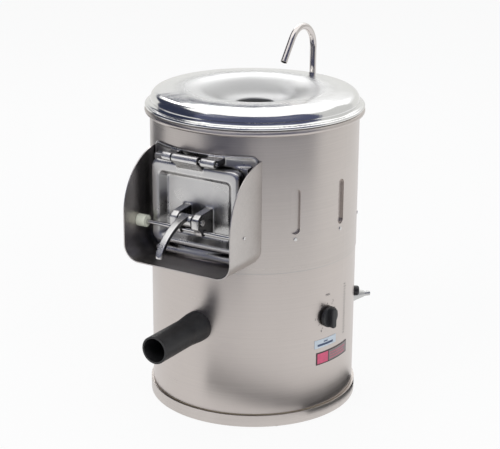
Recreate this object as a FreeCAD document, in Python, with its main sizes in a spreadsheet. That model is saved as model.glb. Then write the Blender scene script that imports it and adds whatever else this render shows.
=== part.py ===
import FreeCAD, Part
import math
import os
import types

import Sketcher

# Counter-top potato peeler: a round steel tank with an abrasive disc, a cast door in a sheet chute,
# a drain spout, a timer and a belt-driven disc. Millimetres, +Z up, front towards -Y. The origin is on
# the tank's axis at the height of the table.

SIZES = (
    # base
    ("pad_radius", 11.0, "rubber pad under the base ring"),
    ("pad_height", 2.0, "thickness of a rubber pad"),
    ("pad_stem", 3.5, "radius of the pad's stem"),
    ("pad_circle", 180.0, "radius of the circle the pads stand on"),
    ("ring_radius", 194.5, "outside of the base ring"),
    ("ring_wall", 2.0, "thickness of the base ring"),
    ("ring_height", 21.5, "height of the base ring"),
    ("ring_flange", 20.0, "width of the ring's lower flange"),
    ("ring_ledge", 12.5, "width of the ring's upper ledge"),
    ("plate_sheet", 2.0, "thickness of the base plate"),
    ("plate_gap", 1.5, "gap round the base plate"),
    ("seal_height", 1.5, "thickness of the seal on the base ring"),
    ("seal_inset", 0.6, "how far the seal stands back from the housing"),
    ("seal_width", 3.0, "width of the seal"),
    # lower housing and drain pan
    ("housing_radius", 190.0, "outside of the lower housing"),
    ("sheet", 1.5, "thickness of the housing, pan and tank sheet"),
    ("seam_height", 295.0, "height of the seam between housing and tank"),
    ("pan_rim", 190.6, "outside of the pan's clamped rim"),
    ("pan_mouth", 186.0, "outside radius of the pan's mouth"),
    ("pan_radius", 125.0, "outside radius of the pan's sump"),
    ("pan_floor", 160.0, "underside of the pan's floor"),
    ("pan_cone_top", 272.0, "top of the pan's cone"),
    ("pan_cone_foot", 226.0, "foot of the pan's cone"),
    ("pan_hole", 30.0, "hole for the bearing housing"),
    # drain
    ("drain_height", 185.0, "height of the drain's axis"),
    ("drain_radius", 19.0, "outside of the drain pipe"),
    ("drain_reach", 222.0, "end of the drain pipe from the tank's axis"),
    ("spout_radius", 25.0, "outside of the rubber spout"),
    ("spout_bore", 21.5, "bore of the rubber spout"),
    ("spout_reach", 324.0, "end of the spout from the tank's axis"),
    ("cuff_radius", 27.8, "outside of the spout's cuff"),
    ("cuff_length", 10.0, "length of the cuff in front of the housing"),
    ("cuff_slope", 30.0, "length over which the cuff thins out"),
    # peeling tank
    ("tank_radius", 191.0, "outside of the peeling tank"),
    ("rim_height", 548.5, "height of the rolled rim's centre"),
    ("rim_bead", 5.5, "radius of the rolled rim"),
    ("groove_first", 54.0, "azimuth of the first pressed groove"),
    ("groove_step", 31.5, "angle between grooves"),
    ("groove_width", 17.0, "width of a groove"),
    ("groove_length", 83.0, "length of a groove"),
    ("groove_centre", 405.5, "height of a groove's middle"),
    ("groove_depth", 5.0, "depth of a groove"),
    ("rivet_height", 355.0, "height of the liner rivets"),
    ("rivet_shank", 2.0, "radius of a rivet's shank"),
    ("rivet_head", 3.6, "radius of a rivet's head"),
    ("rivet_crown", 1.4, "height of a rivet's head"),
    ("rivet_tail", 1.0, "thickness of a rivet's tail"),
    ("liner_sheet", 3.0, "thickness of the abrasive liner"),
    ("liner_low", 325.0, "lower edge of the abrasive liner"),
    ("liner_high", 361.0, "upper edge of the abrasive liner"),
    ("liner_gap", 98.0, "half width of the liner's gap at the door"),
    # door frame
    ("frame_half", 98.0, "half width of the door's seat"),
    ("frame_low", 314.0, "underside of the door frame"),
    ("frame_high", 490.0, "top of the door's seat"),
    ("frame_corner", 23.0, "radius of the frame's lower corners"),
    ("flange_half", 108.6, "half width of the frame's flange on the tank"),
    ("flange_top", 509.0, "top of the frame's flange"),
    ("flange_sheet", 2.5, "thickness of the frame's flange"),
    ("flange_lip", 2.0, "how far the flange's lip stands out"),
    ("flange_lip_width", 3.5, "width of the flange's lip"),
    ("flange_low_corner", 27.0, "radius of the flange's lower corners"),
    ("flange_corner", 12.0, "radius of the flange's upper corners"),
    ("seat_front", 180.0, "distance of the door's seat from the axis"),
    ("frame_back", 170.0, "distance of the frame's back from the axis"),
    ("shelf", 2.0, "thickness of the frame's shelves in the opening"),
    ("window_half", 84.0, "half width of the frame in the tank's opening"),
    ("window_low", 330.0, "lower edge of the frame in the opening"),
    ("window_high", 490.0, "upper edge of the frame in the opening"),
    ("throat_half", 74.0, "half width of the throat"),
    ("throat_low", 344.0, "lower edge of the throat"),
    ("throat_high", 476.0, "upper edge of the throat"),
    ("throat_corner", 12.0, "corner radius of the throat"),
    ("sill_high", 329.0, "top of the rounded sill"),
    ("sill_front", 197.0, "distance of the sill's nose from the axis"),
    ("gasket", 2.0, "thickness of the door gasket"),
    ("gasket_width", 6.0, "width of the door gasket"),
    # hinge
    ("hinge_front", 213.0, "distance of the hinge pin from the axis"),
    ("hinge_height", 499.0, "height of the hinge pin"),
    ("knuckle", 8.0, "radius of a hinge knuckle"),
    ("hinge_pin", 3.0, "radius of the hinge pin"),
    ("pin_half", 57.0, "half length of the hinge pin"),
    ("knuckle_outer", 55.0, "outer end of the frame's knuckles"),
    ("left_knuckle", 19.8, "length of the frame's left knuckle"),
    ("right_knuckle", 30.0, "length of the frame's right knuckle"),
    ("door_knuckle", 54.2, "length of the door's knuckle"),
    ("knuckle_gap", 0.5, "gap beside the door's knuckle"),
    # door
    ("door_half", 92.0, "half width of the door"),
    ("door_low", 335.0, "lower edge of the door"),
    ("door_high", 486.0, "upper edge of the door"),
    ("door_corner", 15.0, "corner radius of the door"),
    ("door_depth", 17.0, "depth of the door casting"),
    ("door_skin", 3.0, "thickness of the door's panel"),
    ("door_round", 5.5, "rounding of the door's front edge"),
    ("door_gap", 2.0, "gap round the door in its frame"),
    ("recess_half", 76.0, "half width of the recess at the front"),
    ("recess_low", 345.0, "lower edge of the recess"),
    ("recess_high", 466.0, "upper edge of the recess"),
    ("recess_corner", 9.0, "corner radius of the recess"),
    ("recess_draft", 12.0, "slope of the recess's walls, as a width"),
    # latch
    ("latch_front", 221.0, "distance of the lever pin from the axis"),
    ("latch_height", 393.0, "height of the lever pin"),
    ("latch_pin", 4.0, "radius of the lever pin"),
    ("latch_head", 5.5, "radius of the lever pin's heads"),
    ("ear_inner", 14.5, "inner face of an ear"),
    ("ear_width", 15.5, "thickness of an ear"),
    ("ear_front", 231.5, "distance of the ears' front from the axis"),
    ("ear_high", 410.0, "top of an ear at its root"),
    ("ear_low", 364.0, "underside of an ear at its root"),
    ("bar_front", 213.0, "distance of the latch bar from the axis"),
    ("bar_height", 373.0, "height of the latch bar"),
    ("bar_radius", 3.8, "radius of the latch bar"),
    ("bar_half", 106.0, "half length of the latch bar"),
    ("bar_eye", 8.5, "radius of the eye round the bar"),
    ("roller_radius", 11.0, "radius of a nylon roller"),
    ("roller_length", 18.0, "length of a nylon roller"),
    ("roller_gap", 0.4, "gap between a roller and the chute"),
    ("lever_boss", 11.0, "radius of the lever's boss"),
    ("lever_gap", 0.7, "gap between the lever and an ear"),
    ("lever_reach", 86.0, "how far the lever's tip stands in front of its pin"),
    ("lever_drop", 43.0, "how far the lever's tip hangs below its pin"),
    ("lever_root", 15.0, "width of the lever at its boss"),
    ("lever_tip", 13.0, "width of the lever at its tip"),
    ("lever_thick", 9.5, "thickness of the lever at its boss"),
    ("lever_thin", 7.0, "thickness of the lever at its tip"),
    ("lever_arch", 107.0, "radius of the lever's outer curve"),
    ("lever_arch_inner", 100.0, "radius of the lever's inner curve"),
    # chute
    ("chute_half", 111.0, "half width of the chute"),
    ("chute_low", 309.0, "underside of the chute"),
    ("chute_front", 256.0, "distance of the chute's front edge from the axis"),
    ("chute_corner", 30.0, "outer bend radius of the chute"),
    ("chute_sheet", 2.0, "thickness of the chute sheet"),
    ("wing_arc", 108.0, "radius of the wings' curved upper edge"),
    ("stud_head", 3.2, "radius of a wing stud's head"),
    ("stud_crown", 1.2, "height of a wing stud's head"),
    # lid
    ("lid_sheet", 2.0, "thickness of the lid"),
    ("lid_wall", 190.0, "outside radius of the lid's wall"),
    ("lid_bead", 3.0, "radius of the lid's rolled edge"),
    ("lid_bead_circle", 197.0, "radius of the rolled edge's centre line"),
    ("lid_flare", 6.0, "bend radius at the foot of the lid's wall"),
    ("lid_crest_circle", 130.0, "radius of the lid's crest"),
    ("lid_rise", 31.7, "height of the lid's crest over its flange"),
    ("well_rise", 4.3, "height of the lid's well over its flange"),
    ("lid_brow", 400.0, "radius of the lid's brow outside the crest"),
    ("lid_bowl", 115.0, "radius of the lid's curve inside the crest"),
    ("lid_shoulder", 176.0, "radius where the shoulder starts"),
    ("lid_hole", 34.0, "radius of the water hole in the lid's middle"),
    ("lid_hole_bend", 3.0, "bend radius at the water hole"),
    ("lid_hole_collar", 7.0, "depth of the water hole's collar"),
    ("skirt_depth", 14.0, "depth of the lid's locating skirt"),
    ("skirt_gap", 1.5, "gap between the skirt and the tank"),
    # water pipe
    ("pipe_radius", 6.35, "outside of the water pipe"),
    ("pipe_bore", 5.15, "bore of the water pipe"),
    ("pipe_gap", 14.65, "gap between the tank and the upright pipe"),
    ("pipe_foot", 241.0, "lower end of the water pipe"),
    ("pipe_over_lid", 40.0, "height of the pipe's straight part over the lid"),
    ("pipe_bend", 45.0, "bend radius of the water pipe"),
    ("pipe_turn", 143.0, "angle of the pipe's bend"),
    ("pipe_leg", 49.0, "length of the pipe's outlet leg"),
    ("socket_radius", 13.0, "outside of the swivel socket"),
    ("socket_low", 222.0, "underside of the swivel socket"),
    ("socket_high", 262.0, "top of the swivel socket"),
    ("gland_nut", 11.5, "radius of the swivel's gland nut"),
    ("gland_nut_height", 11.0, "height of the swivel's gland nut"),
    ("inlet_height", 233.0, "height of the swivel's stub"),
    ("stub_radius", 8.0, "outside of the threaded stubs"),
    ("collar", 13.0, "radius of the collar outside the housing"),
    ("clip_low", 505.0, "underside of the pipe clip"),
    ("clip_height", 14.0, "height of the pipe clip"),
    ("clip_wall", 4.5, "wall of the pipe clip"),
    # inlet
    ("tail_azimuth", 140.0, "azimuth of the hose tail"),
    ("tail_height", 161.0, "height of the hose tail"),
    ("tail_root", 16.5, "radius of the hose tail's root"),
    ("tail_cone", 36.0, "length of the hose tail's cone"),
    ("tail_tip", 5.0, "radius of the hose tail's tip"),
    ("tail_tip_length", 12.0, "length of the hose tail's tip"),
    ("tail_bore", 3.0, "bore of the hose tail"),
    ("tube_radius", 4.0, "outside of the inner water tube"),
    ("tube_circle", 160.0, "radius of the inner tube's run"),
    ("tube_bend", 14.0, "bend radius of the inner tube"),
    ("shank_inner", 178.0, "inner end of the threaded stubs"),
    # cable gland
    ("gland_azimuth", 120.0, "azimuth of the cable gland"),
    ("gland_height", 196.0, "height of the cable gland"),
    ("gland_radius", 9.5, "radius of the cable gland"),
    ("gland_dome", 10.0, "length of the cable gland outside"),
    ("gland_bore", 3.8, "bore of the cable gland"),
    ("locknut", 11.5, "radius of the locknuts"),
    ("locknut_height", 4.5, "thickness of the locknuts"),
    # timer
    ("timer_azimuth", 76.5, "azimuth of the timer"),
    ("timer_height", 195.3, "height of the timer"),
    ("timer_half", 22.0, "half width of the timer's case"),
    ("timer_depth", 40.0, "depth of the timer's case"),
    ("timer_bush", 5.0, "radius of the timer's bush"),
    ("timer_shaft", 3.0, "radius of the timer's shaft"),
    ("timer_nut", 8.0, "radius of the timer's nut"),
    ("knob_back", 193.2, "distance of the knob's back from the axis"),
    ("knob_radius", 19.5, "radius of the knob's skirt"),
    ("knob_skirt", 6.0, "height of the knob's skirt"),
    ("grip_length", 38.0, "length of the knob's grip"),
    ("grip_width", 11.0, "width of the knob's grip"),
    ("grip_height", 9.5, "height of the knob's grip"),
    # plates on the housing
    ("foil", 0.4, "thickness of the stuck-on plates"),
    ("glue", 0.15, "thickness of the glue under the plates"),
    ("name_azimuth", 75.8, "azimuth of the upper plate"),
    ("name_half", 28.0, "half width of the upper plate"),
    ("name_low", 137.5, "lower edge of the upper plate"),
    ("name_high", 153.5, "upper edge of the upper plate"),
    ("notice_azimuth", 82.6, "azimuth of the lower plate"),
    ("notice_half", 45.5, "half width of the lower plate"),
    ("notice_low", 104.5, "lower edge of the lower plate"),
    ("notice_high", 128.5, "upper edge of the lower plate"),
    # spindle and disc
    ("spindle", 10.0, "radius of the spindle"),
    ("spindle_foot", 40.0, "lower end of the spindle"),
    ("spindle_collar", 15.0, "radius of the spindle's collar"),
    ("collar_height", 8.0, "height of the spindle's collar"),
    ("spindle_thread", 6.0, "radius of the spindle's thread"),
    ("hub_radius", 24.0, "radius of the disc's hub"),
    ("hub_low", 282.0, "underside of the disc's hub"),
    ("disc_radius", 183.0, "radius of the peeling disc"),
    ("disc_low", 312.0, "underside of the disc's plate"),
    ("disc_plate", 6.0, "thickness of the disc's plate"),
    ("disc_skirt", 8.0, "depth of the disc's rim"),
    ("disc_rim", 3.0, "thickness of the disc's rim"),
    ("paddle_thick", 5.0, "thickness of a peel paddle"),
    ("paddle_depth", 14.0, "depth of a peel paddle"),
    ("abrasive", 4.0, "thickness of the abrasive coat"),
    ("wave_rise", 5.0, "height of the disc's waves"),
    ("wave_radius", 20.0, "radius of the disc's waves"),
    ("waves", 3, "number of waves on the disc"),
    ("disc_nut", 13.0, "radius of the disc's nut"),
    ("disc_nut_height", 14.0, "height of the disc's nut"),
    # bearings
    ("bearing_radius", 23.5, "outside of the ball bearings"),
    ("bearing_height", 14.0, "height of a ball bearing"),
    ("neck_radius", 28.0, "outside of the bearing housing"),
    ("neck_low", 92.0, "lower end of the bearing housing"),
    ("neck_high", 230.0, "upper end of the bearing housing"),
    ("neck_bore", 20.0, "bore between the bearings"),
    ("flange_radius", 45.0, "radius of the bearing housing's flange"),
    ("flange_height", 8.0, "thickness of the flange"),
    ("flange_circle", 36.5, "bolt circle of the flange"),
    ("bolt_radius", 3.0, "radius of the machine bolts"),
    ("bolt_head", 5.0, "radius of the bolt heads and nuts"),
    ("bolt_head_height", 4.0, "height of the bolt heads and nuts"),
    ("lip_seal", 8.0, "height of the shaft seal"),
    ("fit", 0.04, "running clearance of shafts, as a radius"),
    ("slack", 0.3, "clearance between parts that move past each other"),
    ("hole_gap", 0.1, "clearance of screws and rivets in their holes, as a radius"),
    ("frame_screw_x", 90.0, "place of the frame's screws"),
    ("frame_screw_low", 380.0, "height of the frame's lower screws"),
    ("frame_screw_high", 470.0, "height of the frame's upper screws"),
    ("frame_screw_length", 7.0, "length of the frame's screws in the casting"),
    # drive
    ("motor_offset", 105.0, "distance of the motor's axis behind the spindle"),
    ("motor_radius", 55.0, "outside of the motor"),
    ("motor_shell", 4.0, "wall of the motor's body"),
    ("shield_radius", 57.0, "radius of the motor's end shields"),
    ("shield_height", 6.0, "thickness of an end shield"),
    ("motor_low", 73.0, "underside of the motor"),
    ("motor_height", 70.0, "height of the motor"),
    ("stator_bore", 29.2, "bore of the stator"),
    ("rotor_gap", 0.6, "air gap of the motor"),
    ("core_height", 36.0, "height of the motor's core"),
    ("motor_shaft", 7.0, "radius of the motor's shaft"),
    ("motor_bearing", 14.0, "outside of the motor's bearings"),
    ("pulley_low", 50.0, "underside of the pulleys"),
    ("pulley_height", 18.0, "height of the pulleys"),
    ("pulley_flange", 2.5, "thickness of a pulley's flange"),
    ("pulley_lip", 6.0, "height of a pulley's flange over its face"),
    ("disc_pulley", 70.0, "radius of the large pulley's face"),
    ("motor_pulley", 16.0, "radius of the small pulley's face"),
    ("belt_thick", 4.0, "thickness of the belt"),
    ("belt_gap", 0.4, "gap between the belt and the pulleys"),
    ("bracket_sheet", 3.0, "thickness of the motor bracket"),
    ("bracket_half", 64.0, "half width of the motor bracket"),
    ("bracket_near", 48.0, "front of the motor bracket"),
    ("bracket_far", 160.0, "back of the motor bracket"),
    ("bracket_foot", 16.0, "width of the bracket's feet"),
    ("screw_radius", 2.0, "radius of the small screws"),
    ("screw_head", 4.0, "radius of the small screws' heads"),
    ("screw_head_height", 2.6, "height of the small screws' heads"),
    # electrics on the base plate
    ("capacitor_radius", 18.0, "radius of the run capacitor"),
    ("capacitor_height", 72.0, "height of the run capacitor"),
    ("capacitor_x", 120.0, "place of the run capacitor"),
    ("capacitor_y", -60.0, "place of the run capacitor"),
    ("clip_band", 12.0, "height of the capacitor's clip"),
    ("clip_sheet", 1.5, "thickness of the capacitor's clip"),
    ("terminal_x", -125.0, "place of the terminal block"),
    ("terminal_y", 40.0, "place of the terminal block"),
    ("terminal_length", 50.0, "length of the terminal block"),
    ("terminal_width", 20.0, "width of the terminal block"),
    ("terminal_height", 18.0, "height of the terminal block"),
    ("terminals", 4, "number of terminals"),
)

doc = FreeCAD.newDocument("PotatoPeeler")
sheet = doc.addObject("Spreadsheet::Sheet", "Sizes")
for row, (alias, value, note) in enumerate(SIZES, start=1):
    sheet.set(f"A{row}", note)
    sheet.set(f"B{row}", str(value))
    sheet.setAlias(f"B{row}", alias)
doc.recompute()


class Size:
    """A length with its value and the sheet expression that drives it."""

    def __init__(self, value, text):
        self.value = float(value)
        self.text = text

    def __add__(self, other):
        other = size(other)
        return Size(self.value + other.value, f"({self.text} + {other.text})")

    def __sub__(self, other):
        other = size(other)
        return Size(self.value - other.value, f"({self.text} - {other.text})")

    def __mul__(self, other):
        other = size(other)
        return Size(self.value * other.value, f"({self.text} * {other.text})")

    def __truediv__(self, other):
        other = size(other)
        return Size(self.value / other.value, f"({self.text} / {other.text})")

    def __neg__(self):
        return Size(-self.value, f"(-1 * {self.text})")

    def __radd__(self, other):
        return size(other) + self

    def __rsub__(self, other):
        return size(other) - self

    def __rmul__(self, other):
        return size(other) * self


def size(number):
    """A plain number as a Size."""
    return number if isinstance(number, Size) else Size(number, repr(number))


def root(value):
    """The square root of a Size."""
    return Size(math.sqrt(value.value), f"sqrt({value.text})")


def sine(angle):
    """The sine of a Size in degrees."""
    return Size(math.sin(math.radians(angle.value)), f"sin({angle.text})")


def cosine(angle):
    """The cosine of a Size in degrees."""
    return Size(math.cos(math.radians(angle.value)), f"cos({angle.text})")


d = types.SimpleNamespace(**{alias: Size(sheet.get(alias), f"Sizes.{alias}") for alias, _, _ in SIZES})

UP = FreeCAD.Rotation()
ALONG_X = FreeCAD.Rotation(FreeCAD.Vector(0, 1, 0), 90)
FORWARD = FreeCAD.Rotation(FreeCAD.Vector(1, 0, 0), 90)
FULL_TURN = 360.0
TALL = 2000.0
nodes = []


def bind(obj, **sizes):
    """Tie properties of an object to sheet expressions."""
    for name, value in sizes.items():
        obj.setExpression(name, size(value).text)
    return obj


def put(obj, at, turn=UP):
    """Give an object its direction and tie its place to the sheet."""
    obj.Placement = FreeCAD.Placement(FreeCAD.Vector(), turn)
    for letter, value in zip("xyz", at):
        obj.setExpression(f"Placement.Base.{letter}", size(value).text)
    return obj


def node(name, obj):
    """Keep an object as a named piece of the machine."""
    obj.Label = name
    nodes.append(obj)
    return obj


def cylinder(name, radius, length, at=(0, 0, 0), turn=UP):
    obj = doc.addObject("Part::Cylinder", name)
    return put(bind(obj, Radius=radius, Height=length), at, turn)


def cone(name, low_radius, high_radius, length, at=(0, 0, 0), turn=UP):
    obj = doc.addObject("Part::Cone", name)
    return put(bind(obj, Radius1=low_radius, Radius2=high_radius, Height=length), at, turn)


def box(name, x, y, z):
    """A box between two limits on each axis, each limit a pair of Sizes."""
    obj = doc.addObject("Part::Box", name)
    spans = [size(high) - size(low) for low, high in (x, y, z)]
    bind(obj, Length=spans[0], Width=spans[1], Height=spans[2])
    return put(obj, (x[0], y[0], z[0]))


def cut(name, base, *tools):
    for number, tool in enumerate(tools):
        obj = doc.addObject("Part::Cut", f"{name}_cut{number}")
        obj.Base = base
        obj.Tool = tool
        base = obj
    return base


def fuse(name, *pieces):
    obj = doc.addObject("Part::MultiFuse", f"{name}_whole")
    obj.Shapes = list(pieces)
    obj.Refine = True
    return obj


def common(name, *pieces):
    obj = doc.addObject("Part::MultiCommon", f"{name}_shared")
    obj.Shapes = list(pieces)
    return obj


def group(name, pieces):
    """Separate solids side by side in one object."""
    obj = doc.addObject("Part::Compound", f"{name}_group")
    obj.Links = list(pieces)
    return obj


def swung(obj, azimuth):
    """Turn an object made at the front round the tank's axis, towards +X."""
    holder = group(obj.Name, [obj])
    holder.Placement = FreeCAD.Placement(FreeCAD.Vector(), FreeCAD.Rotation(FreeCAD.Vector(0, 0, 1), 1))
    holder.setExpression("Placement.Rotation.Angle", size(azimuth).text)
    return holder


def shifted(obj, at):
    """Move a finished object as a whole."""
    return put(group(obj.Name, [obj]), at)


def pipe_shell(name, outer, inner, length, at=(0, 0, 0), turn=UP):
    """A plain tube."""
    tube = cylinder(f"{name}_outside", outer, length, at, turn)
    bore = cylinder(f"{name}_inside", inner, length, at, turn)
    return cut(name, tube, bore)


def new_sketch(body, role, name):
    sketch = body.newObject("Sketcher::SketchObject", name)
    plane = next(item for item in body.Origin.OriginFeatures if item.Role == role)
    sketch.AttachmentSupport = (plane, [""])
    sketch.MapMode = "FlatFace"
    return sketch


def hold(sketch, geometry, point, letter, value):
    """Fix one coordinate of a sketch point from the origin."""
    if value.value == 0:
        axis = -2 if letter == "X" else -1
        sketch.addConstraint(Sketcher.Constraint("PointOnObject", geometry, point, axis))
        return
    ends = (-1, 1, geometry, point) if value.value > 0 else (geometry, point, -1, 1)
    number = sketch.addConstraint(Sketcher.Constraint(f"Distance{letter}", *ends, abs(value.value)))
    sketch.setExpression(f"Constraints[{number}]", value.text if value.value > 0 else (-value).text)


def draw(sketch, outline):
    """Draw a closed outline. A corner is (u, v); an arc to a corner is (u, v, centre u, centre v)."""
    corners = [(size(item[0]), size(item[1])) for item in outline]
    spots = [FreeCAD.Vector(u.value, v.value, 0) for u, v in corners]
    count = len(outline)
    begins, ends = [], []
    for i in range(count):
        start, stop, target = spots[i], spots[(i + 1) % count], outline[(i + 1) % count]
        if len(target) == 2:
            sketch.addGeometry(Part.LineSegment(start, stop))
            begins.append(1)
            ends.append(2)
            continue
        centre_u, centre_v = size(target[2]), size(target[3])
        centre = FreeCAD.Vector(centre_u.value, centre_v.value, 0)
        bulge = (start + stop) * 0.5 - centre
        bulge.normalize()
        sketch.addGeometry(Part.Arc(start, centre + bulge * (start - centre).Length, stop))
        forward = (sketch.getPoint(i, 1) - start).Length < (sketch.getPoint(i, 2) - start).Length
        begins.append(1 if forward else 2)
        ends.append(2 if forward else 1)
        chord = stop - start
        if abs(chord.y) >= abs(chord.x):
            hold(sketch, i, 3, "X", centre_u)
        else:
            hold(sketch, i, 3, "Y", centre_v)
    for i in range(count):
        following = (i + 1) % count
        sketch.addConstraint(Sketcher.Constraint("Coincident", i, ends[i], following, begins[following]))
        hold(sketch, i, begins[i], "X", corners[i][0])
        hold(sketch, i, begins[i], "Y", corners[i][1])


def turned(name, outline):
    """A piece turned about the Z axis from an outline of (radius, height) corners."""
    body = doc.addObject("PartDesign::Body", name)
    sketch = new_sketch(body, "XZ_Plane", f"{name}_outline")
    draw(sketch, outline)
    revolution = body.newObject("PartDesign::Revolution", f"{name}_turn")
    revolution.Profile = sketch
    revolution.ReferenceAxis = (sketch, ["V_Axis"])
    revolution.Angle = FULL_TURN
    body.Tip = revolution
    return body


def padded(name, role, outline, depth, at):
    """An outline on an origin plane, thickened along the plane's normal."""
    body = doc.addObject("PartDesign::Body", name)
    sketch = new_sketch(body, role, f"{name}_outline")
    draw(sketch, outline)
    pad = body.newObject("PartDesign::Pad", f"{name}_pad")
    pad.Profile = sketch
    bind(pad, Length=depth)
    body.Tip = pad
    return put(body, at)


def rounded(half, low, high, corner):
    """The outline of an upright rectangle with rounded corners."""
    inner, top, bottom = half - corner, high - corner, low + corner
    return (
        (-inner, low, -inner, bottom),
        (inner, low),
        (half, bottom, inner, bottom),
        (half, top),
        (inner, high, inner, top),
        (-inner, high),
        (-half, top, -inner, top),
        (-half, bottom),
    )


def front_edges(shape, depth):
    """Names of the edges that lie in the front face of a pad."""
    names = []
    for number, edge in enumerate(shape.Edges, start=1):
        if all(abs(vertex.Y + depth.value) < 1e-6 for vertex in edge.Vertexes):
            names.append(f"Edge{number}")
    return names


def slab(name, outline, front, back, rounding=None):
    """An upright plate between two distances in front of the axis."""
    body = padded(name, "XZ_Plane", outline, front - back, (0, -back, 0))
    if rounding is not None:
        doc.recompute()
        pad = body.Tip
        fillet = body.newObject("PartDesign::Fillet", f"{name}_fillet")
        fillet.Base = (pad, front_edges(pad.Shape, front - back))
        bind(fillet, Radius=rounding)
        body.Tip = fillet
    return body


def funnel(name, outline_back, outline_front, front, back):
    """An upright plate whose outline changes from its back to its front."""
    body = doc.addObject("PartDesign::Body", name)
    first = new_sketch(body, "XZ_Plane", f"{name}_back")
    draw(first, outline_back)
    second = new_sketch(body, "XZ_Plane", f"{name}_front")
    draw(second, outline_front)
    second.setExpression("AttachmentOffset.Base.z", (front - back).text)
    loft = body.newObject("PartDesign::AdditiveLoft", f"{name}_loft")
    loft.Profile = first
    loft.Sections = [second]
    loft.Ruled = True
    body.Tip = loft
    return put(body, (0, -back, 0))


def obround(name, half, low, high, front, back):
    """An upright plate with round ends."""
    top, bottom = high - half, low + half
    outline = (
        (0, low, 0, bottom),
        (half, bottom, 0, bottom),
        (half, top),
        (0, high, 0, top),
        (-half, top, 0, top),
        (-half, bottom),
    )
    return slab(name, outline, front, back)


def circle_of(name, make, count, radius, start=0.0):
    """Pieces spaced evenly on a circle round the Z axis. make(name, x, y) builds one."""
    pieces = []
    for i in range(count):
        angle = size(start + FULL_TURN * i / count)
        pieces.append(make(f"{name}{i}", radius * sine(angle), -1 * radius * cosine(angle)))
    return pieces


# Base: a rolled ring of angle section that closes the housing below, four rubber pads pushed through its
# lower flange, a sheet base plate screwed to the flange and a thin seal under the housing.
PADS = 4
PAD_START = 45.0
VENTS = 6
base_top = d.pad_height + d.ring_height
flange_top = d.pad_height + d.ring_wall
plate_top = flange_top + d.plate_sheet
ring_inner = d.ring_radius - d.ring_wall
housing_low = base_top + d.seal_height
housing_high = d.seam_height - d.sheet
housing_inner = d.housing_radius - d.sheet
bracket_foot_top = plate_top + d.bracket_sheet

ring = turned(
    "ring",
    (
        (ring_inner - d.ring_flange, d.pad_height),
        (d.ring_radius, d.pad_height),
        (d.ring_radius, base_top),
        (ring_inner - d.ring_ledge, base_top),
        (ring_inner - d.ring_ledge, base_top - d.ring_wall),
        (ring_inner, base_top - d.ring_wall),
        (ring_inner, flange_top),
        (ring_inner - d.ring_flange, flange_top),
    ),
)


def stem_hole(name, x, y):
    return cylinder(name, d.pad_stem + d.hole_gap, base_top, (x, y, 0))


def screw_hole(name, x, y):
    return cylinder(name, d.screw_radius + d.hole_gap, bracket_foot_top, (x, y, 0))


def vent_hole(name, x, y):
    return cylinder(name, d.pad_radius, base_top, (x, y, 0))


def rubber_pad(name, x, y):
    foot = cylinder(f"{name}_pad", d.pad_radius, d.pad_height, (x, y, 0))
    stem = cylinder(f"{name}_stem", d.pad_stem, plate_top + d.hole_gap, (x, y, 0))
    return fuse(name, foot, stem)


def small_screw(name, x, y, seat):
    length = d.bracket_sheet + d.plate_sheet + d.hole_gap
    shank = cylinder(f"{name}_shank", d.screw_radius, length, (x, y, seat - length))
    head = cone(f"{name}_head", d.screw_head, d.screw_head * 0.8, d.screw_head_height, (x, y, seat))
    return fuse(name, shank, head)


def plate_screw(name, x, y):
    return small_screw(name, x, y, plate_top)


ring_holes = group(
    "ring_holes",
    circle_of("stem_hole", stem_hole, PADS, d.pad_circle, PAD_START)
    + circle_of("ring_screw_hole", screw_hole, PADS, d.pad_circle),
)
node("base_ring", cut("base_ring", ring, ring_holes))
node("rubber_feet", group("feet", circle_of("foot", rubber_pad, PADS, d.pad_circle, PAD_START)))

foot_x = d.bracket_half + d.bracket_foot * 0.5
foot_near = d.bracket_near + d.bracket_foot * 0.75
foot_length = d.bracket_far - foot_near
foot_rows = (foot_near + foot_length * 0.15, d.bracket_far - foot_length * 0.15)
foot_places = [(side * foot_x, y) for side in (-1, 1) for y in foot_rows]
plate_holes = group(
    "plate_holes",
    circle_of("plate_stem_hole", stem_hole, PADS, d.pad_circle, PAD_START)
    + circle_of("plate_screw_hole", screw_hole, PADS, d.pad_circle)
    + circle_of("vent_hole", vent_hole, VENTS, d.disc_pulley * 1.9)
    + [screw_hole(f"foot_hole{i}", x, y) for i, (x, y) in enumerate(foot_places)],
)
plate = cylinder("plate", ring_inner - d.plate_gap, d.plate_sheet, (0, 0, flange_top))
node("base_plate", cut("base_plate", plate, plate_holes))
node(
    "base_screws",
    group(
        "screws",
        circle_of("plate_screw", plate_screw, PADS, d.pad_circle)
        + [small_screw(f"foot_screw{i}", x, y, bracket_foot_top) for i, (x, y) in enumerate(foot_places)],
    ),
)
seal_outer = d.housing_radius - d.seal_inset
node("base_seal", pipe_shell("seal", seal_outer, seal_outer - d.seal_width, d.seal_height, (0, 0, base_top)))


# Lower housing: a rolled and seam-welded stainless shell with holes for the drain, the timer, the cable
# gland and the two water fittings. Two thin plates are stuck on its right side.
def wall_hole(name, radius, height, azimuth):
    hole = cylinder(name, radius, d.housing_radius * 0.2, (0, d.housing_radius * -0.9, height), FORWARD)
    return swung(hole, azimuth)


FRONT = 0.0
REAR = 180.0
shell = pipe_shell("shell", d.housing_radius, housing_inner, housing_high - housing_low, (0, 0, housing_low))
housing_holes = group(
    "housing_holes",
    [
        wall_hole("drain_hole", d.drain_radius + d.slack * 2, d.drain_height, FRONT),
        wall_hole("bush_hole", d.timer_bush + d.hole_gap, d.timer_height, d.timer_azimuth),
        wall_hole("gland_hole", d.stub_radius + d.hole_gap, d.gland_height, d.gland_azimuth),
        wall_hole("tail_hole", d.stub_radius + d.hole_gap, d.tail_height, d.tail_azimuth),
        wall_hole("elbow_hole", d.stub_radius + d.hole_gap, d.inlet_height, REAR),
    ],
)
node("lower_housing", cut("lower_housing", shell, housing_holes))


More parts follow.
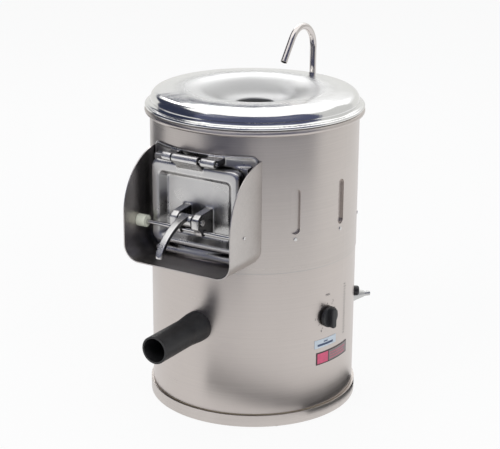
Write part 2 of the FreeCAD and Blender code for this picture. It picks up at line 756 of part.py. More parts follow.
def foil_plate(name, azimuth, half, low, high):
    """A thin plate that follows the housing."""
    back = d.housing_radius + d.glue
    skin = pipe_shell(f"{name}_skin", back + d.foil, back, high - low, (0, 0, low))
    window = box(f"{name}_window", (-half, half), (d.housing_radius * -1.1, 0), (low, high))
    return node(name, swung(common(name, skin, window), azimuth))


foil_plate("name_plate", d.name_azimuth, d.name_half, d.name_low, d.name_high)
foil_plate("notice_plate", d.notice_azimuth, d.notice_half, d.notice_low, d.notice_high)

# Drain pan: a spun pan clamped between housing and tank, with a sump, a hole for the bearing housing and
# a drain pipe welded to its wall. The spout is a rubber sleeve pulled over the pipe.
BOLTS = 4
BOLT_START = 45.0
pan_step = d.sheet * 0.5
pan = turned(
    "pan",
    (
        (d.pan_rim, housing_high),
        (d.pan_rim, d.seam_height),
        (d.pan_mouth - d.sheet, d.seam_height),
        (d.pan_mouth - d.sheet, d.pan_cone_top + pan_step),
        (d.pan_radius - d.sheet, d.pan_cone_foot + pan_step),
        (d.pan_radius - d.sheet, d.pan_floor + d.sheet),
        (d.pan_hole, d.pan_floor + d.sheet),
        (d.pan_hole, d.pan_floor),
        (d.pan_radius, d.pan_floor),
        (d.pan_radius, d.pan_cone_foot),
        (d.pan_mouth, d.pan_cone_top),
        (d.pan_mouth, housing_high),
    ),
)
drain_start = d.pan_radius * 0.8
drain_at = (0, -drain_start, d.drain_height)
drain_pipe = cylinder("drain_pipe", d.drain_radius, d.drain_reach - drain_start, drain_at, FORWARD)
drain_way = cylinder("drain_way", d.drain_radius - d.sheet, d.drain_reach - drain_start, drain_at, FORWARD)
pan_inside = cylinder("pan_inside", d.pan_radius - pan_step, d.pan_cone_foot - d.pan_floor, (0, 0, d.pan_floor))


def flange_hole(name, x, y):
    return cylinder(name, d.bolt_radius + d.hole_gap, d.flange_radius, (x, y, d.pan_floor - d.sheet))


node(
    "drain_pan",
    cut(
        "drain_pan",
        fuse("drain_pan", pan, cut("drain_pipe", drain_pipe, pan_inside)),
        drain_way,
        group("pan_bolt_holes", circle_of("pan_bolt_hole", flange_hole, BOLTS, d.flange_circle, BOLT_START)),
    ),
)
cuff_end = d.housing_radius + d.cuff_length
spout = turned(
    "spout",
    (
        (d.drain_radius + d.fit, d.housing_radius * 0.9),
        (d.cuff_radius, d.housing_radius * 0.9),
        (d.cuff_radius, cuff_end),
        (d.spout_radius, cuff_end + d.cuff_slope),
        (d.spout_radius, d.spout_reach),
        (d.spout_bore, d.spout_reach),
        (d.spout_bore, d.drain_reach + d.sheet),
        (d.drain_radius + d.fit, d.drain_reach + d.sheet),
    ),
)
put(spout, (0, 0, d.drain_height), FORWARD)
saddle = cylinder(
    "saddle", d.housing_radius + d.fit, d.cuff_radius * 4, (0, 0, d.drain_height - d.cuff_radius * 2)
)
node("drain_spout", cut("drain_spout", spout, saddle))

# Spindle and bearings: a cast bearing housing bolted to the pan's floor, two sealed ball bearings, a lip
# seal and the turned spindle that carries the disc above and the large pulley below.
neck_step = 2.0
flange_low = d.pan_floor + d.sheet
flange_top_height = flange_low + d.flange_height
bearing_bore = d.bearing_radius + d.fit
low_bearing_top = d.neck_low + d.bearing_height + neck_step
seal_low = d.neck_high - d.lip_seal - neck_step * 0.5
high_bearing_low = seal_low - d.bearing_height - neck_step * 0.5
neck = turned(
    "neck",
    (
        (bearing_bore, d.neck_low),
        (d.neck_radius, d.neck_low),
        (d.neck_radius, flange_low),
        (d.flange_radius, flange_low),
        (d.flange_radius, flange_top_height),
        (d.neck_radius, flange_top_height),
        (d.neck_radius, d.neck_high),
        (bearing_bore, d.neck_high),
        (bearing_bore, high_bearing_low),
        (d.neck_bore, high_bearing_low),
        (d.neck_bore, low_bearing_top),
        (bearing_bore, low_bearing_top),
    ),
)
neck_bolt_holes = circle_of("neck_bolt_hole", flange_hole, BOLTS, d.flange_circle, BOLT_START)
node("bearing_housing", cut("bearing_housing", neck, group("neck_bolt_holes", neck_bolt_holes)))


def flange_bolt(name, x, y):
    """A bolt with its nut under the pan's floor."""
    low = d.pan_floor - d.bolt_head_height
    shank = cylinder(f"{name}_shank", d.bolt_radius, flange_top_height - low, (x, y, low))
    head = cylinder(f"{name}_head", d.bolt_head, d.bolt_head_height, (x, y, flange_top_height))
    nut = cylinder(f"{name}_nut", d.bolt_head, d.bolt_head_height, (x, y, low))
    return fuse(name, shank, head, nut)


def bearing(name, inner, outer, height, at):
    """A sealed ball bearing: two races and the sunk shields between them."""
    step = (outer - inner) * 0.3
    sunk = height * 0.06
    outline = (
        (inner + d.fit, 0),
        (inner + step, 0),
        (inner + step, sunk),
        (outer - step, sunk),
        (outer - step, 0),
        (outer, 0),
        (outer, height),
        (outer - step, height),
        (outer - step, height - sunk),
        (inner + step, height - sunk),
        (inner + step, height),
        (inner + d.fit, height),
    )
    return put(turned(name, outline), at)


node("bearing_bolts", group("bolts", circle_of("bolt", flange_bolt, BOLTS, d.flange_circle, BOLT_START)))
low_bearing_at = (0, 0, low_bearing_top - d.bearing_height)
high_bearing_at = (0, 0, high_bearing_low)
low_bearing = bearing("low_bearing", d.spindle, d.bearing_radius, d.bearing_height, low_bearing_at)
high_bearing = bearing("high_bearing", d.spindle, d.bearing_radius, d.bearing_height, high_bearing_at)
node("spindle_bearings", group("bearing_pair", [low_bearing, high_bearing]))
node("shaft_seal", pipe_shell("lip", d.bearing_radius, d.spindle + d.fit, d.lip_seal, (0, 0, seal_low)))
disc_top = d.disc_low + d.disc_plate
coat_top = disc_top + d.abrasive
collar_low = d.hub_low - d.collar_height
thread_top = coat_top + d.disc_nut_height * 0.65
node(
    "spindle",
    turned(
        "spindle_shape",
        (
            (0, d.spindle_foot),
            (d.spindle, d.spindle_foot),
            (d.spindle, collar_low),
            (d.spindle_collar, collar_low),
            (d.spindle_collar, d.hub_low),
            (d.spindle, d.hub_low),
            (d.spindle, disc_top),
            (d.spindle_thread, disc_top),
            (d.spindle_thread, thread_top),
            (0, thread_top),
        ),
    ),
)

# Disc: a cast aluminium plate with a hub, a turned-down rim and two paddles below that push the peelings
# to the drain. A coat of abrasive with waves is bonded on top and a domed nut holds the disc down.
PADDLES = (0.0, 180.0)
disc_shape = turned(
    "disc_shape",
    (
        (d.spindle + d.fit, d.hub_low),
        (d.hub_radius, d.hub_low),
        (d.hub_radius, d.disc_low),
        (d.disc_radius - d.disc_rim, d.disc_low),
        (d.disc_radius - d.disc_rim, d.disc_low - d.disc_skirt),
        (d.disc_radius, d.disc_low - d.disc_skirt),
        (d.disc_radius, disc_top),
        (d.hub_radius - neck_step, disc_top),
        (d.hub_radius - neck_step, coat_top),
        (d.spindle_thread + d.fit, coat_top),
        (d.spindle_thread + d.fit, disc_top),
        (d.spindle + d.fit, disc_top),
    ),
)
paddle_half = d.paddle_thick * 0.5
paddle_y = (d.disc_rim - d.disc_radius, 1 - d.hub_radius)
paddle_z = (d.disc_low - d.paddle_depth, d.disc_low)
paddles = [
    swung(box(f"paddle{i}", (-paddle_half, paddle_half), paddle_y, paddle_z), azimuth)
    for i, azimuth in enumerate(PADDLES)
]
node("peeling_disc", fuse("peeling_disc", disc_shape, *paddles))
coat = pipe_shell("coat", d.disc_radius - 1, d.hub_radius, d.abrasive, (0, 0, disc_top))
wave_start = d.hub_radius * 1.6
wave_length = d.disc_radius * 0.93 - wave_start
wave_at = (0, -wave_start, coat_top + d.wave_rise - d.wave_radius)
wave_count = int(d.waves.value)
wave_rods = [
    swung(
        cylinder(f"wave{i}", d.wave_radius, wave_length, wave_at, FORWARD),
        FULL_TURN * i / wave_count,
    )
    for i in range(wave_count)
]
wave_space = cylinder("wave_space", d.disc_radius, d.abrasive + d.wave_rise * 2, (0, 0, disc_top))
node("disc_abrasive", fuse("disc_abrasive", coat, common("waves", fuse("wave_rods", *wave_rods), wave_space)))
nut_top = coat_top + d.disc_nut_height
nut_edge = d.disc_nut * 0.4
node(
    "disc_nut",
    turned(
        "domed_nut",
        (
            (d.spindle_thread + d.fit, coat_top),
            (d.disc_nut, coat_top),
            (d.disc_nut, nut_top - nut_edge),
            (d.disc_nut - nut_edge, nut_top, d.disc_nut - nut_edge, nut_top - nut_edge),
            (0, nut_top),
            (0, thread_top + d.slack),
            (d.spindle_thread + d.fit, thread_top + d.slack),
        ),
    ),
)

# Drive: a flat belt from the motor's small pulley to the large pulley on the spindle. Both pulleys are
# cast and turned, with flanges that keep the belt on.
pulley_top = d.pulley_low + d.pulley_height
face_low = d.pulley_low + d.pulley_flange
face_high = pulley_top - d.pulley_flange
hub_step = d.pulley_flange * 1.6
web_low = d.pulley_low + d.pulley_height * 0.3
web_high = d.pulley_low + d.pulley_height * 0.7
pulley_hub = d.spindle * 2.2
pulley_rim = d.disc_pulley - d.pulley_lip * 1.3
node(
    "driven_pulley",
    turned(
        "large_pulley",
        (
            (d.spindle + d.fit, d.pulley_low - hub_step),
            (pulley_hub, d.pulley_low - hub_step),
            (pulley_hub, web_low),
            (pulley_rim, web_low),
            (pulley_rim, d.pulley_low),
            (d.disc_pulley + d.pulley_lip, d.pulley_low),
            (d.disc_pulley + d.pulley_lip, face_low),
            (d.disc_pulley, face_low),
            (d.disc_pulley, face_high),
            (d.disc_pulley + d.pulley_lip, face_high),
            (d.disc_pulley + d.pulley_lip, pulley_top),
            (pulley_rim, pulley_top),
            (pulley_rim, web_high),
            (pulley_hub, web_high),
            (pulley_hub, pulley_top + hub_step),
            (d.spindle + d.fit, pulley_top + hub_step),
        ),
    ),
)


def behind(height):
    """A place on the motor's axis."""
    return (0, d.motor_offset, height)


small_pulley = turned(
    "small_pulley",
    (
        (d.motor_shaft + d.fit, d.pulley_low - hub_step),
        (d.motor_pulley, d.pulley_low - hub_step),
        (d.motor_pulley, d.pulley_low),
        (d.motor_pulley + d.pulley_lip, d.pulley_low),
        (d.motor_pulley + d.pulley_lip, face_low),
        (d.motor_pulley, face_low),
        (d.motor_pulley, face_high),
        (d.motor_pulley + d.pulley_lip, face_high),
        (d.motor_pulley + d.pulley_lip, pulley_top),
        (d.motor_shaft + d.fit, pulley_top),
    ),
)
node("motor_pulley", put(small_pulley, behind(0)))


def belt_loop(large, small, distance):
    """The face inside a belt line round two circles, the second behind the first."""
    lean = math.asin((large - small) / distance)
    right, back = math.cos(lean), math.sin(lean)
    near = [FreeCAD.Vector(side * large * right, large * back, 0) for side in (1, -1)]
    far = [FreeCAD.Vector(side * small * right, distance + small * back, 0) for side in (1, -1)]
    front = Part.Arc(near[0], FreeCAD.Vector(0, -large, 0), near[1]).toShape()
    rear = Part.Arc(far[1], FreeCAD.Vector(0, distance + small, 0), far[0]).toShape()
    return Part.Face(Part.Wire([front, Part.makeLine(near[1], far[1]), rear, Part.makeLine(far[0], near[0])]))


belt_inner = [(face + d.belt_gap).value for face in (d.disc_pulley, d.motor_pulley)]
belt_outer = [(face + d.belt_gap + d.belt_thick).value for face in (d.disc_pulley, d.motor_pulley)]
belt_height = (face_high - face_low - d.belt_gap * 2).value
belt_face = belt_loop(*belt_outer, d.motor_offset.value).cut(belt_loop(*belt_inner, d.motor_offset.value))
belt = doc.addObject("Part::Feature", "belt")
belt.Shape = belt_face.Faces[0].extrude(FreeCAD.Vector(0, 0, belt_height))
node("drive_belt", put(belt, (0, 0, face_low + d.belt_gap)))

# Motor: a closed capacitor motor standing on a bent steel bracket over the belt. The bracket's feet are
# screwed to the base plate.
MOTOR_BOLTS = 4
body_low = d.motor_low + d.shield_height
body_height = d.motor_height - d.shield_height * 2
body_high = body_low + body_height
motor_bore = d.motor_radius - d.motor_shell
core_low = body_low + (body_height - d.core_height) * 0.5
seat_wall = d.motor_shell
seat_height = d.shield_height * 1.5
race_height = seat_height - 1
seat_outer = d.motor_bearing + seat_wall
seat_inner = d.motor_bearing + d.fit
shaft_way = d.motor_shaft + neck_step
bracket_low = d.motor_low - d.bracket_sheet
bolt_into = d.shield_height * 0.8


def motor_bolt_place(index):
    """A bolt's place round the motor's axis."""
    turn = size(PAD_START + FULL_TURN * index / MOTOR_BOLTS)
    circle = d.motor_radius * 0.73
    return circle * sine(turn), d.motor_offset - circle * cosine(turn)


def motor_bolt_hole(name, x, y):
    return cylinder(name, d.screw_radius + d.hole_gap, d.bracket_sheet + bolt_into, (x, y, bracket_low))


def motor_bolt(name, x, y):
    head_low = bracket_low - d.screw_head_height
    shank = cylinder(f"{name}_shank", d.screw_radius, d.bracket_sheet + bolt_into - d.slack, (x, y, bracket_low))
    head = cylinder(f"{name}_head", d.screw_head, d.screw_head_height, (x, y, head_low))
    return fuse(name, shank, head)


bolt_places = [motor_bolt_place(i) for i in range(MOTOR_BOLTS)]
motor_bolt_holes = group(
    "motor_bolt_holes", [motor_bolt_hole(f"motor_bolt_hole{i}", x, y) for i, (x, y) in enumerate(bolt_places)]
)
node("motor_body", pipe_shell("motor_tube", d.motor_radius, motor_bore, body_height, behind(body_low)))
node("motor_stator", pipe_shell("stator", motor_bore - d.fit, d.stator_bore, d.core_height, behind(core_low)))
low_shield = turned(
    "low_shield",
    (
        (shaft_way, d.motor_low),
        (d.shield_radius, d.motor_low),
        (d.shield_radius, body_low),
        (seat_outer, body_low),
        (seat_outer, body_low + seat_height),
        (seat_inner, body_low + seat_height),
        (seat_inner, body_low),
        (shaft_way, body_low),
    ),
)
high_shield = turned(
    "high_shield",
    (
        (0, body_high),
        (seat_inner, body_high),
        (seat_inner, body_high - seat_height),
        (seat_outer, body_high - seat_height),
        (seat_outer, body_high),
        (d.shield_radius, body_high),
        (d.shield_radius, body_high + d.shield_height),
        (0, body_high + d.shield_height),
    ),
)
bored_shield = cut("bored_shield", put(low_shield, behind(0)), motor_bolt_holes)
node("motor_shields", group("shields", [bored_shield, put(high_shield, behind(0))]))
low_race = bearing("low_race", d.motor_shaft, d.motor_bearing, race_height, behind(body_low))
high_race = bearing("high_race", d.motor_shaft, d.motor_bearing, race_height, behind(body_high - race_height))
node("motor_bearings", group("races", [low_race, high_race]))
shaft_low = d.pulley_low - hub_step - neck_step
shaft = cylinder("shaft", d.motor_shaft, body_high - d.slack - shaft_low, behind(shaft_low))
core = cylinder("core", d.stator_bore - d.rotor_gap, d.core_height, behind(core_low))
node("motor_rotor", fuse("motor_rotor", shaft, core))

leg_inner = d.bracket_half - d.bracket_sheet
foot_outer = d.bracket_half + d.bracket_foot
deck = box(
    "deck", (-d.bracket_half, d.bracket_half), (d.bracket_near, d.bracket_far), (bracket_low, d.motor_low)
)
bracket_pieces = [deck]
for side, leg_x, foot_span in (
    ("left", (-d.bracket_half, -leg_inner), (-foot_outer, -leg_inner)),
    ("right", (leg_inner, d.bracket_half), (leg_inner, foot_outer)),
):
    leg_y = (foot_near, d.bracket_far)
    bracket_pieces.append(box(f"{side}_leg", leg_x, leg_y, (plate_top, d.motor_low)))
    bracket_pieces.append(box(f"{side}_foot", foot_span, leg_y, (plate_top, bracket_foot_top)))
bracket_holes = group(
    "bracket_holes",
    [cylinder("shaft_hole", shaft_way, d.motor_low * 2, behind(0))]
    + [screw_hole(f"bracket_hole{i}", x, y) for i, (x, y) in enumerate(foot_places)],
)
bracket = fuse("motor_bracket", *bracket_pieces)
node("motor_bracket", cut("motor_bracket", bracket, motor_bolt_holes, bracket_holes))
motor_bolts = [motor_bolt(f"motor_bolt{i}", x, y) for i, (x, y) in enumerate(bolt_places)]
node("motor_bolts", group("motor_bolt_set", motor_bolts))

# Electrics on the base plate: the motor's run capacitor in a sheet clip and a moulded terminal block.
capacitor_at = (d.capacitor_x, d.capacitor_y, plate_top)
node("run_capacitor", cylinder("can", d.capacitor_radius, d.capacitor_height, capacitor_at))
clip_outer = d.capacitor_radius + d.fit + d.clip_sheet
clip_z = plate_top + d.clip_band * 2
strap_x = d.capacitor_x + clip_outer
band = pipe_shell("band", clip_outer, d.capacitor_radius + d.fit, d.clip_band, (d.capacitor_x, d.capacitor_y, clip_z))
strap_y = (d.capacitor_y - d.clip_band * 0.5, d.capacitor_y + d.clip_band * 0.5)
strap = box("strap", (strap_x - d.clip_sheet, strap_x), strap_y, (plate_top, clip_z + d.clip_band))
strap_foot = box(
    "strap_foot", (strap_x - d.clip_sheet, strap_x + d.clip_band), strap_y, (plate_top, plate_top + d.clip_sheet)
)
capacitor_room = cylinder("capacitor_room", d.capacitor_radius + d.fit, d.capacitor_height, capacitor_at)
node("capacitor_clip", cut("capacitor_clip", fuse("capacitor_clip", band, strap, strap_foot), capacitor_room))
block_x = (d.terminal_x - d.terminal_width * 0.5, d.terminal_x + d.terminal_width * 0.5)
block_y = (d.terminal_y - d.terminal_length * 0.5, d.terminal_y + d.terminal_length * 0.5)
block_top = plate_top + d.terminal_height
terminal_count = int(d.terminals.value)
terminal_pitch = d.terminal_length / terminal_count
terminal_wells = [
    cylinder(
        f"terminal_well{i}",
        d.screw_head,
        d.terminal_height,
        (d.terminal_x, d.terminal_y + terminal_pitch * (i + 0.5 - terminal_count / 2), plate_top + d.terminal_height * 0.5),
    )
    for i in range(terminal_count)
]
block = box("block", block_x, block_y, (plate_top, block_top))
node("terminal_block", cut("terminal_block", block, group("terminal_wells", terminal_wells)))


# Timer: a clockwork switch behind the housing, held by a nut on its bush, with a moulded knob on its
# shaft. Everything is made at the front, on the housing's radius, and swung round to its place.
def fitting(name, outline, height, azimuth):
    """A turned piece with its axis on a radius of the housing."""
    return swung(put(turned(name, outline), (0, 0, height), FORWARD), azimuth)


timer_front = root(housing_inner * housing_inner - d.timer_half * d.timer_half) - d.slack
bush_end = d.housing_radius + d.sheet * 1.6
shaft_start = timer_front - d.timer_half
shaft_end = d.knob_back + d.knob_skirt * 2
case = box(
    "case",
    (-d.timer_half, d.timer_half),
    (-timer_front, d.timer_depth - timer_front),
    (d.timer_height - d.timer_half, d.timer_height + d.timer_half),
)
bush = cylinder("bush", d.timer_bush, bush_end - shaft_start, (0, -shaft_start, d.timer_height), FORWARD)
bush_bore = cylinder(
    "bush_bore", d.timer_shaft + d.fit, bush_end - shaft_start, (0, -shaft_start, d.timer_height), FORWARD
)
node("timer_body", swung(cut("timer_body", fuse("timer_body", case, bush), bush_bore), d.timer_azimuth))
node(
    "timer_nut",
    fitting(
        "timer_nut_shape",
        (
            (d.timer_bush + d.fit, d.housing_radius + d.fit),
            (d.timer_nut, d.housing_radius + d.fit),
            (d.timer_nut, bush_end),
            (d.timer_bush + d.fit, bush_end),
        ),
        d.timer_height,
        d.timer_azimuth,
    ),
)
knob_shaft = cylinder(
    "knob_shaft",
    d.timer_shaft,
    shaft_end - shaft_start - d.slack,
    (0, -(shaft_start + d.slack), d.timer_height),
    FORWARD,
)
node("timer_shaft", swung(knob_shaft, d.timer_azimuth))
skirt_end = d.knob_back + d.knob_skirt
skirt_edge = d.knob_skirt * 0.4
knob_skirt = put(
    turned(
        "knob_skirt",
        (
            (0, d.knob_back),
            (d.knob_radius, d.knob_back),
            (d.knob_radius, skirt_end - skirt_edge),
            (d.knob_radius - skirt_edge, skirt_end, d.knob_radius - skirt_edge, skirt_end - skirt_edge),
            (0, skirt_end),
        ),
    ),
    (0, 0, d.timer_height),
    FORWARD,
)
grip = slab(
    "grip",
    rounded(
        d.grip_width * 0.5,
        d.timer_height - d.grip_length * 0.5,
        d.timer_height + d.grip_length * 0.5,
        d.grip_width * 0.4,
    ),
    skirt_end + d.grip_height,
    skirt_end - skirt_edge,
    rounding=d.grip_width * 0.2,
)
knob_bore = cylinder(
    "knob_bore", d.timer_shaft + d.fit, d.knob_skirt * 2 + d.slack, (0, -d.knob_back, d.timer_height), FORWARD
)
node("timer_knob", swung(cut("timer_knob", fuse("timer_knob", knob_skirt, grip), knob_bore), d.timer_azimuth))

# Fittings in the housing's back: a cable gland and a tapered hose tail, both with a nut inside, and the
# inner water tube that runs from the hose tail to the swivel.
gland_edge = d.gland_dome * 0.45
node(
    "cable_gland",
    fitting(
        "gland_shape",
        (
            (d.gland_bore, d.shank_inner),
            (d.stub_radius, d.shank_inner),
            (d.stub_radius, d.housing_radius),
            (d.gland_radius, d.housing_radius),
            (d.gland_radius, d.housing_radius + d.gland_dome - gland_edge),
            (
                d.gland_radius - gland_edge,
                d.housing_radius + d.gland_dome,
                d.gland_radius - gland_edge,
                d.housing_radius + d.gland_dome - gland_edge,
            ),
            (d.gland_bore, d.housing_radius + d.gland_dome),
        ),
        d.gland_height,
        d.gland_azimuth,
    ),
)
tail_tip_start = d.housing_radius + d.tail_cone
node(
    "hose_tail",
    fitting(
        "tail_shape",
        (
            (d.tail_bore, d.shank_inner),
            (d.stub_radius, d.shank_inner),
            (d.stub_radius, d.housing_radius),
            (d.tail_root, d.housing_radius),
            (d.tail_tip + 1, tail_tip_start),
            (d.tail_tip, tail_tip_start),
            (d.tail_tip, tail_tip_start + d.tail_tip_length),
            (d.tail_bore, tail_tip_start + d.tail_tip_length),
        ),
        d.tail_height,
        d.tail_azimuth,
    ),
)
locknut_face = root(housing_inner * housing_inner - d.locknut * d.locknut) - d.fit
locknut_outline = (
    (d.stub_radius + d.fit, locknut_face - d.locknut_height),
    (d.locknut, locknut_face - d.locknut_height),
    (d.locknut, locknut_face),
    (d.stub_radius + d.fit, locknut_face),
)
node(
    "locknuts",
    group(
        "locknut_set",
        [
            fitting("gland_locknut", locknut_outline, d.gland_height, d.gland_azimuth),
            fitting("tail_locknut", locknut_outline, d.tail_height, d.tail_azimuth),
            fitting("elbow_locknut", locknut_outline, d.inlet_height, REAR),
        ],
    ),
)


def bent_rod(points, bend, radius):
    """A round rod along straight legs joined by bends."""
    edges, begin = [], points[0]
    for before, corner, after in zip(points, points[1:], points[2:]):
        back, ahead = (before - corner).normalize(), (after - corner).normalize()
        half = back.getAngle(ahead) / 2
        bisector = (back + ahead).normalize()
        centre = corner + bisector * (bend / math.sin(half))
        first = corner + back * (bend / math.tan(half))
        last = corner + ahead * (bend / math.tan(half))
        edges.append(Part.makeLine(begin, first))
        edges.append(Part.Arc(first, centre - bisector * bend, last).toShape())
        begin = last
    edges.append(Part.makeLine(begin, points[-1]))
    profile = Part.Wire(Part.makeCircle(radius, points[0], points[1] - points[0]))
    return Part.Wire(edges).makePipeShell([profile], True, False)


def at_azimuth(radius, azimuth, height):
    turn = math.radians(azimuth)
    return FreeCAD.Vector(radius * math.sin(turn), -radius * math.cos(turn), height)


tube_points = [
    at_azimuth(d.shank_inner.value - 0.1, d.tail_azimuth.value, d.tail_height.value),
    at_azimuth(d.tube_circle.value, d.tail_azimuth.value, d.tail_height.value),
    at_azimuth(d.tube_circle.value, d.tail_azimuth.value, d.inlet_height.value),
    at_azimuth(d.tube_circle.value, REAR, d.inlet_height.value),
    at_azimuth(d.shank_inner.value - 0.1, REAR, d.inlet_height.value),
]
tube = doc.addObject("Part::Feature", "water_tube")
tube_outside = bent_rod(tube_points, d.tube_bend.value, d.tube_radius.value)
tube.Shape = tube_outside.cut(bent_rod(tube_points, d.tube_bend.value, d.tail_bore.value))
node("inlet_tube", tube)

# Water pipe: a bent stainless pipe that turns in a brass swivel at the foot of the tank's back and in a
# clip near the rim, so that its outlet swings in over the lid or clear of it.
pipe_circle = d.tank_radius + d.pipe_gap + d.pipe_radius
lid_flange = d.rim_height + d.rim_bead + d.slack
lid_crest = lid_flange + d.lid_rise
pipe_straight = lid_crest + d.pipe_over_lid
socket_floor = d.socket_low + d.sheet * 3
stub_start = d.shank_inner
socket = cylinder("socket", d.socket_radius, d.socket_high - d.socket_low, (0, pipe_circle, d.socket_low))
stub = cylinder(
    "stub", d.stub_radius, pipe_circle - stub_start, (0, pipe_circle, d.inlet_height), FORWARD
)
stub_collar = cylinder(
    "stub_collar", d.collar * 0.8, pipe_circle - d.housing_radius, (0, pipe_circle, d.inlet_height), FORWARD
)
socket_bore = cylinder(
    "socket_bore", d.pipe_radius + d.fit, d.socket_high - socket_floor, (0, pipe_circle, socket_floor)
)
stub_bore = cylinder(
    "stub_bore", d.tail_bore, pipe_circle - stub_start, (0, pipe_circle, d.inlet_height), FORWARD
)
swivel = fuse("swivel_elbow", socket, stub, stub_collar)
node("swivel_elbow", cut("swivel_elbow", swivel, socket_bore, stub_bore))
node(
    "swivel_nut",
    pipe_shell(
        "swivel_nut_shape",
        d.gland_nut,
        d.pipe_radius + d.fit,
        d.gland_nut_height,
        (0, pipe_circle, d.socket_high),
    ),
)
bend_y = pipe_circle - d.pipe_bend
TOWARDS_BACK = FreeCAD.Rotation(FreeCAD.Vector(1, 1, 1), 120)


def pipe_solid(name, radius):
    """The pipe's upright leg, its bend and its outlet leg as one round rod."""
    upright = cylinder(
        f"{name}_upright", radius, pipe_straight - d.pipe_foot, (0, pipe_circle, d.pipe_foot)
    )
    bend = doc.addObject("Part::Torus", f"{name}_bend")
    bind(bend, Radius1=d.pipe_bend, Radius2=radius, Angle3=d.pipe_turn)
    put(bend, (0, bend_y, pipe_straight), TOWARDS_BACK)
    leg_at = (0, bend_y + d.pipe_bend * cosine(d.pipe_turn), pipe_straight + d.pipe_bend * sine(d.pipe_turn))
    outlet = cylinder(f"{name}_outlet", radius, d.pipe_leg, leg_at, FORWARD)
    outlet.setExpression("Placement.Rotation.Angle", d.pipe_turn.text)
    return fuse(name, upright, bend, outlet)


node(
    "spray_pipe", cut("spray_pipe", pipe_solid("pipe_outside", d.pipe_radius), pipe_solid("pipe_inside", d.pipe_bore))
)
clip_outside = d.pipe_radius + d.clip_wall
clip_ring = cylinder("clip_ring", clip_outside, d.clip_height, (0, pipe_circle, d.clip_low))
clip_block = box(
    "clip_block", (-clip_outside * 0.6, clip_outside * 0.6), (d.tank_radius * 0.95, pipe_circle),
    (d.clip_low, d.clip_low + d.clip_height),
)
clip_bore = cylinder("clip_bore", d.pipe_radius + d.fit, d.clip_height, (0, pipe_circle, d.clip_low))
clip_saddle = cylinder("clip_saddle", d.tank_radius, d.clip_height, (0, 0, d.clip_low))
node("pipe_clip", cut("pipe_clip", fuse("pipe_clip", clip_ring, clip_block), clip_bore, clip_saddle))

# Tank: a rolled stainless shell with a rolled rim, nine pressed grooves that stand into the tank and an
# opening for the door. A low abrasive liner is riveted inside, one rivet below each groove.
GROOVES = 9
tank_inner = d.tank_radius - d.sheet
rim_circle = tank_inner + d.rim_bead
rim_drop = root(d.rim_bead * d.rim_bead - (rim_circle - d.tank_radius) * (rim_circle - d.tank_radius))
tank_shell = turned(
    "tank_shell",
    (
        (tank_inner, d.seam_height),
        (d.tank_radius, d.seam_height),
        (d.tank_radius, d.rim_height - rim_drop),
        (rim_circle + d.rim_bead, d.rim_height, rim_circle, d.rim_height),
        (rim_circle, d.rim_height + d.rim_bead, rim_circle, d.rim_height),
        (tank_inner, d.rim_height, rim_circle, d.rim_height),
    ),
)
groove_half = d.groove_width * 0.5
groove_low = d.groove_centre - d.groove_length * 0.5
groove_high = d.groove_centre + d.groove_length * 0.5
groove_floor = d.tank_radius - d.groove_depth
groove_azimuths = [d.groove_first + d.groove_step * i for i in range(GROOVES)]
bulges = []
hollows = []
for i, azimuth in enumerate(groove_azimuths):
    bulge = obround(
        f"bulge{i}",
        groove_half + d.sheet,
        groove_low - d.sheet,
        groove_high + d.sheet,
        tank_inner + d.sheet * 0.3,
        groove_floor - d.sheet,
    )
    hollow = obround(f"hollow{i}", groove_half, groove_low, groove_high, d.tank_radius * 1.05, groove_floor)
    bulges.append(swung(bulge, azimuth))
    hollows.append(swung(hollow, azimuth))
window_gap = 0.5
tank_window = box(
    "tank_window",
    (-(d.window_half + window_gap), d.window_half + window_gap),
    (d.tank_radius * -1.1, d.tank_radius * -0.8),
    (d.window_low - window_gap, d.window_high + window_gap),
)


def rivet_hole(name, azimuth):
    hole = cylinder(
        name, d.rivet_shank + d.hole_gap, d.tank_radius * 0.1, (0, d.tank_radius * -0.92, d.rivet_height), FORWARD
    )
    return swung(hole, azimuth)


def screw_azimuths():
    """The frame's screws stand on radii through the casting's two sides."""
    angle = math.degrees(math.asin(d.frame_screw_x.value / d.tank_radius.value))
    return (-angle, angle)


def frame_screw_hole(name, azimuth, height):
    hole = cylinder(
        name, d.screw_radius + d.hole_gap, d.tank_radius * 0.1, (0, d.tank_radius * -0.96, height), FORWARD
    )
    return swung(hole, azimuth)


frame_screw_spots = [(angle, height) for angle in screw_azimuths() for height in (d.frame_screw_low, d.frame_screw_high)]
tank_holes = group("tank_holes", [rivet_hole(f"rivet_hole{i}", azimuth) for i, azimuth in enumerate(groove_azimuths)])
tank_screw_holes = group(
    "tank_screw_holes", [frame_screw_hole(f"frame_hole{i}", *spot) for i, spot in enumerate(frame_screw_spots)]
)
node(
    "peeling_tank",
    cut(
        "peeling_tank",
        fuse("peeling_tank", tank_shell, *bulges),
        group("hollows", hollows),
        tank_window,
        tank_holes,
        tank_screw_holes,
    ),
)
liner_inner = tank_inner - d.liner_sheet
liner_shell = pipe_shell("liner", tank_inner, liner_inner, d.liner_high - d.liner_low, (0, 0, d.liner_low))
liner_window = box(
    "liner_window", (-d.liner_gap, d.liner_gap), (d.tank_radius * -1.1, 0), (d.window_low - window_gap * 20, d.window_high)
)
node("abrasive_liner", cut("abrasive_liner", liner_shell, liner_window, tank_holes))


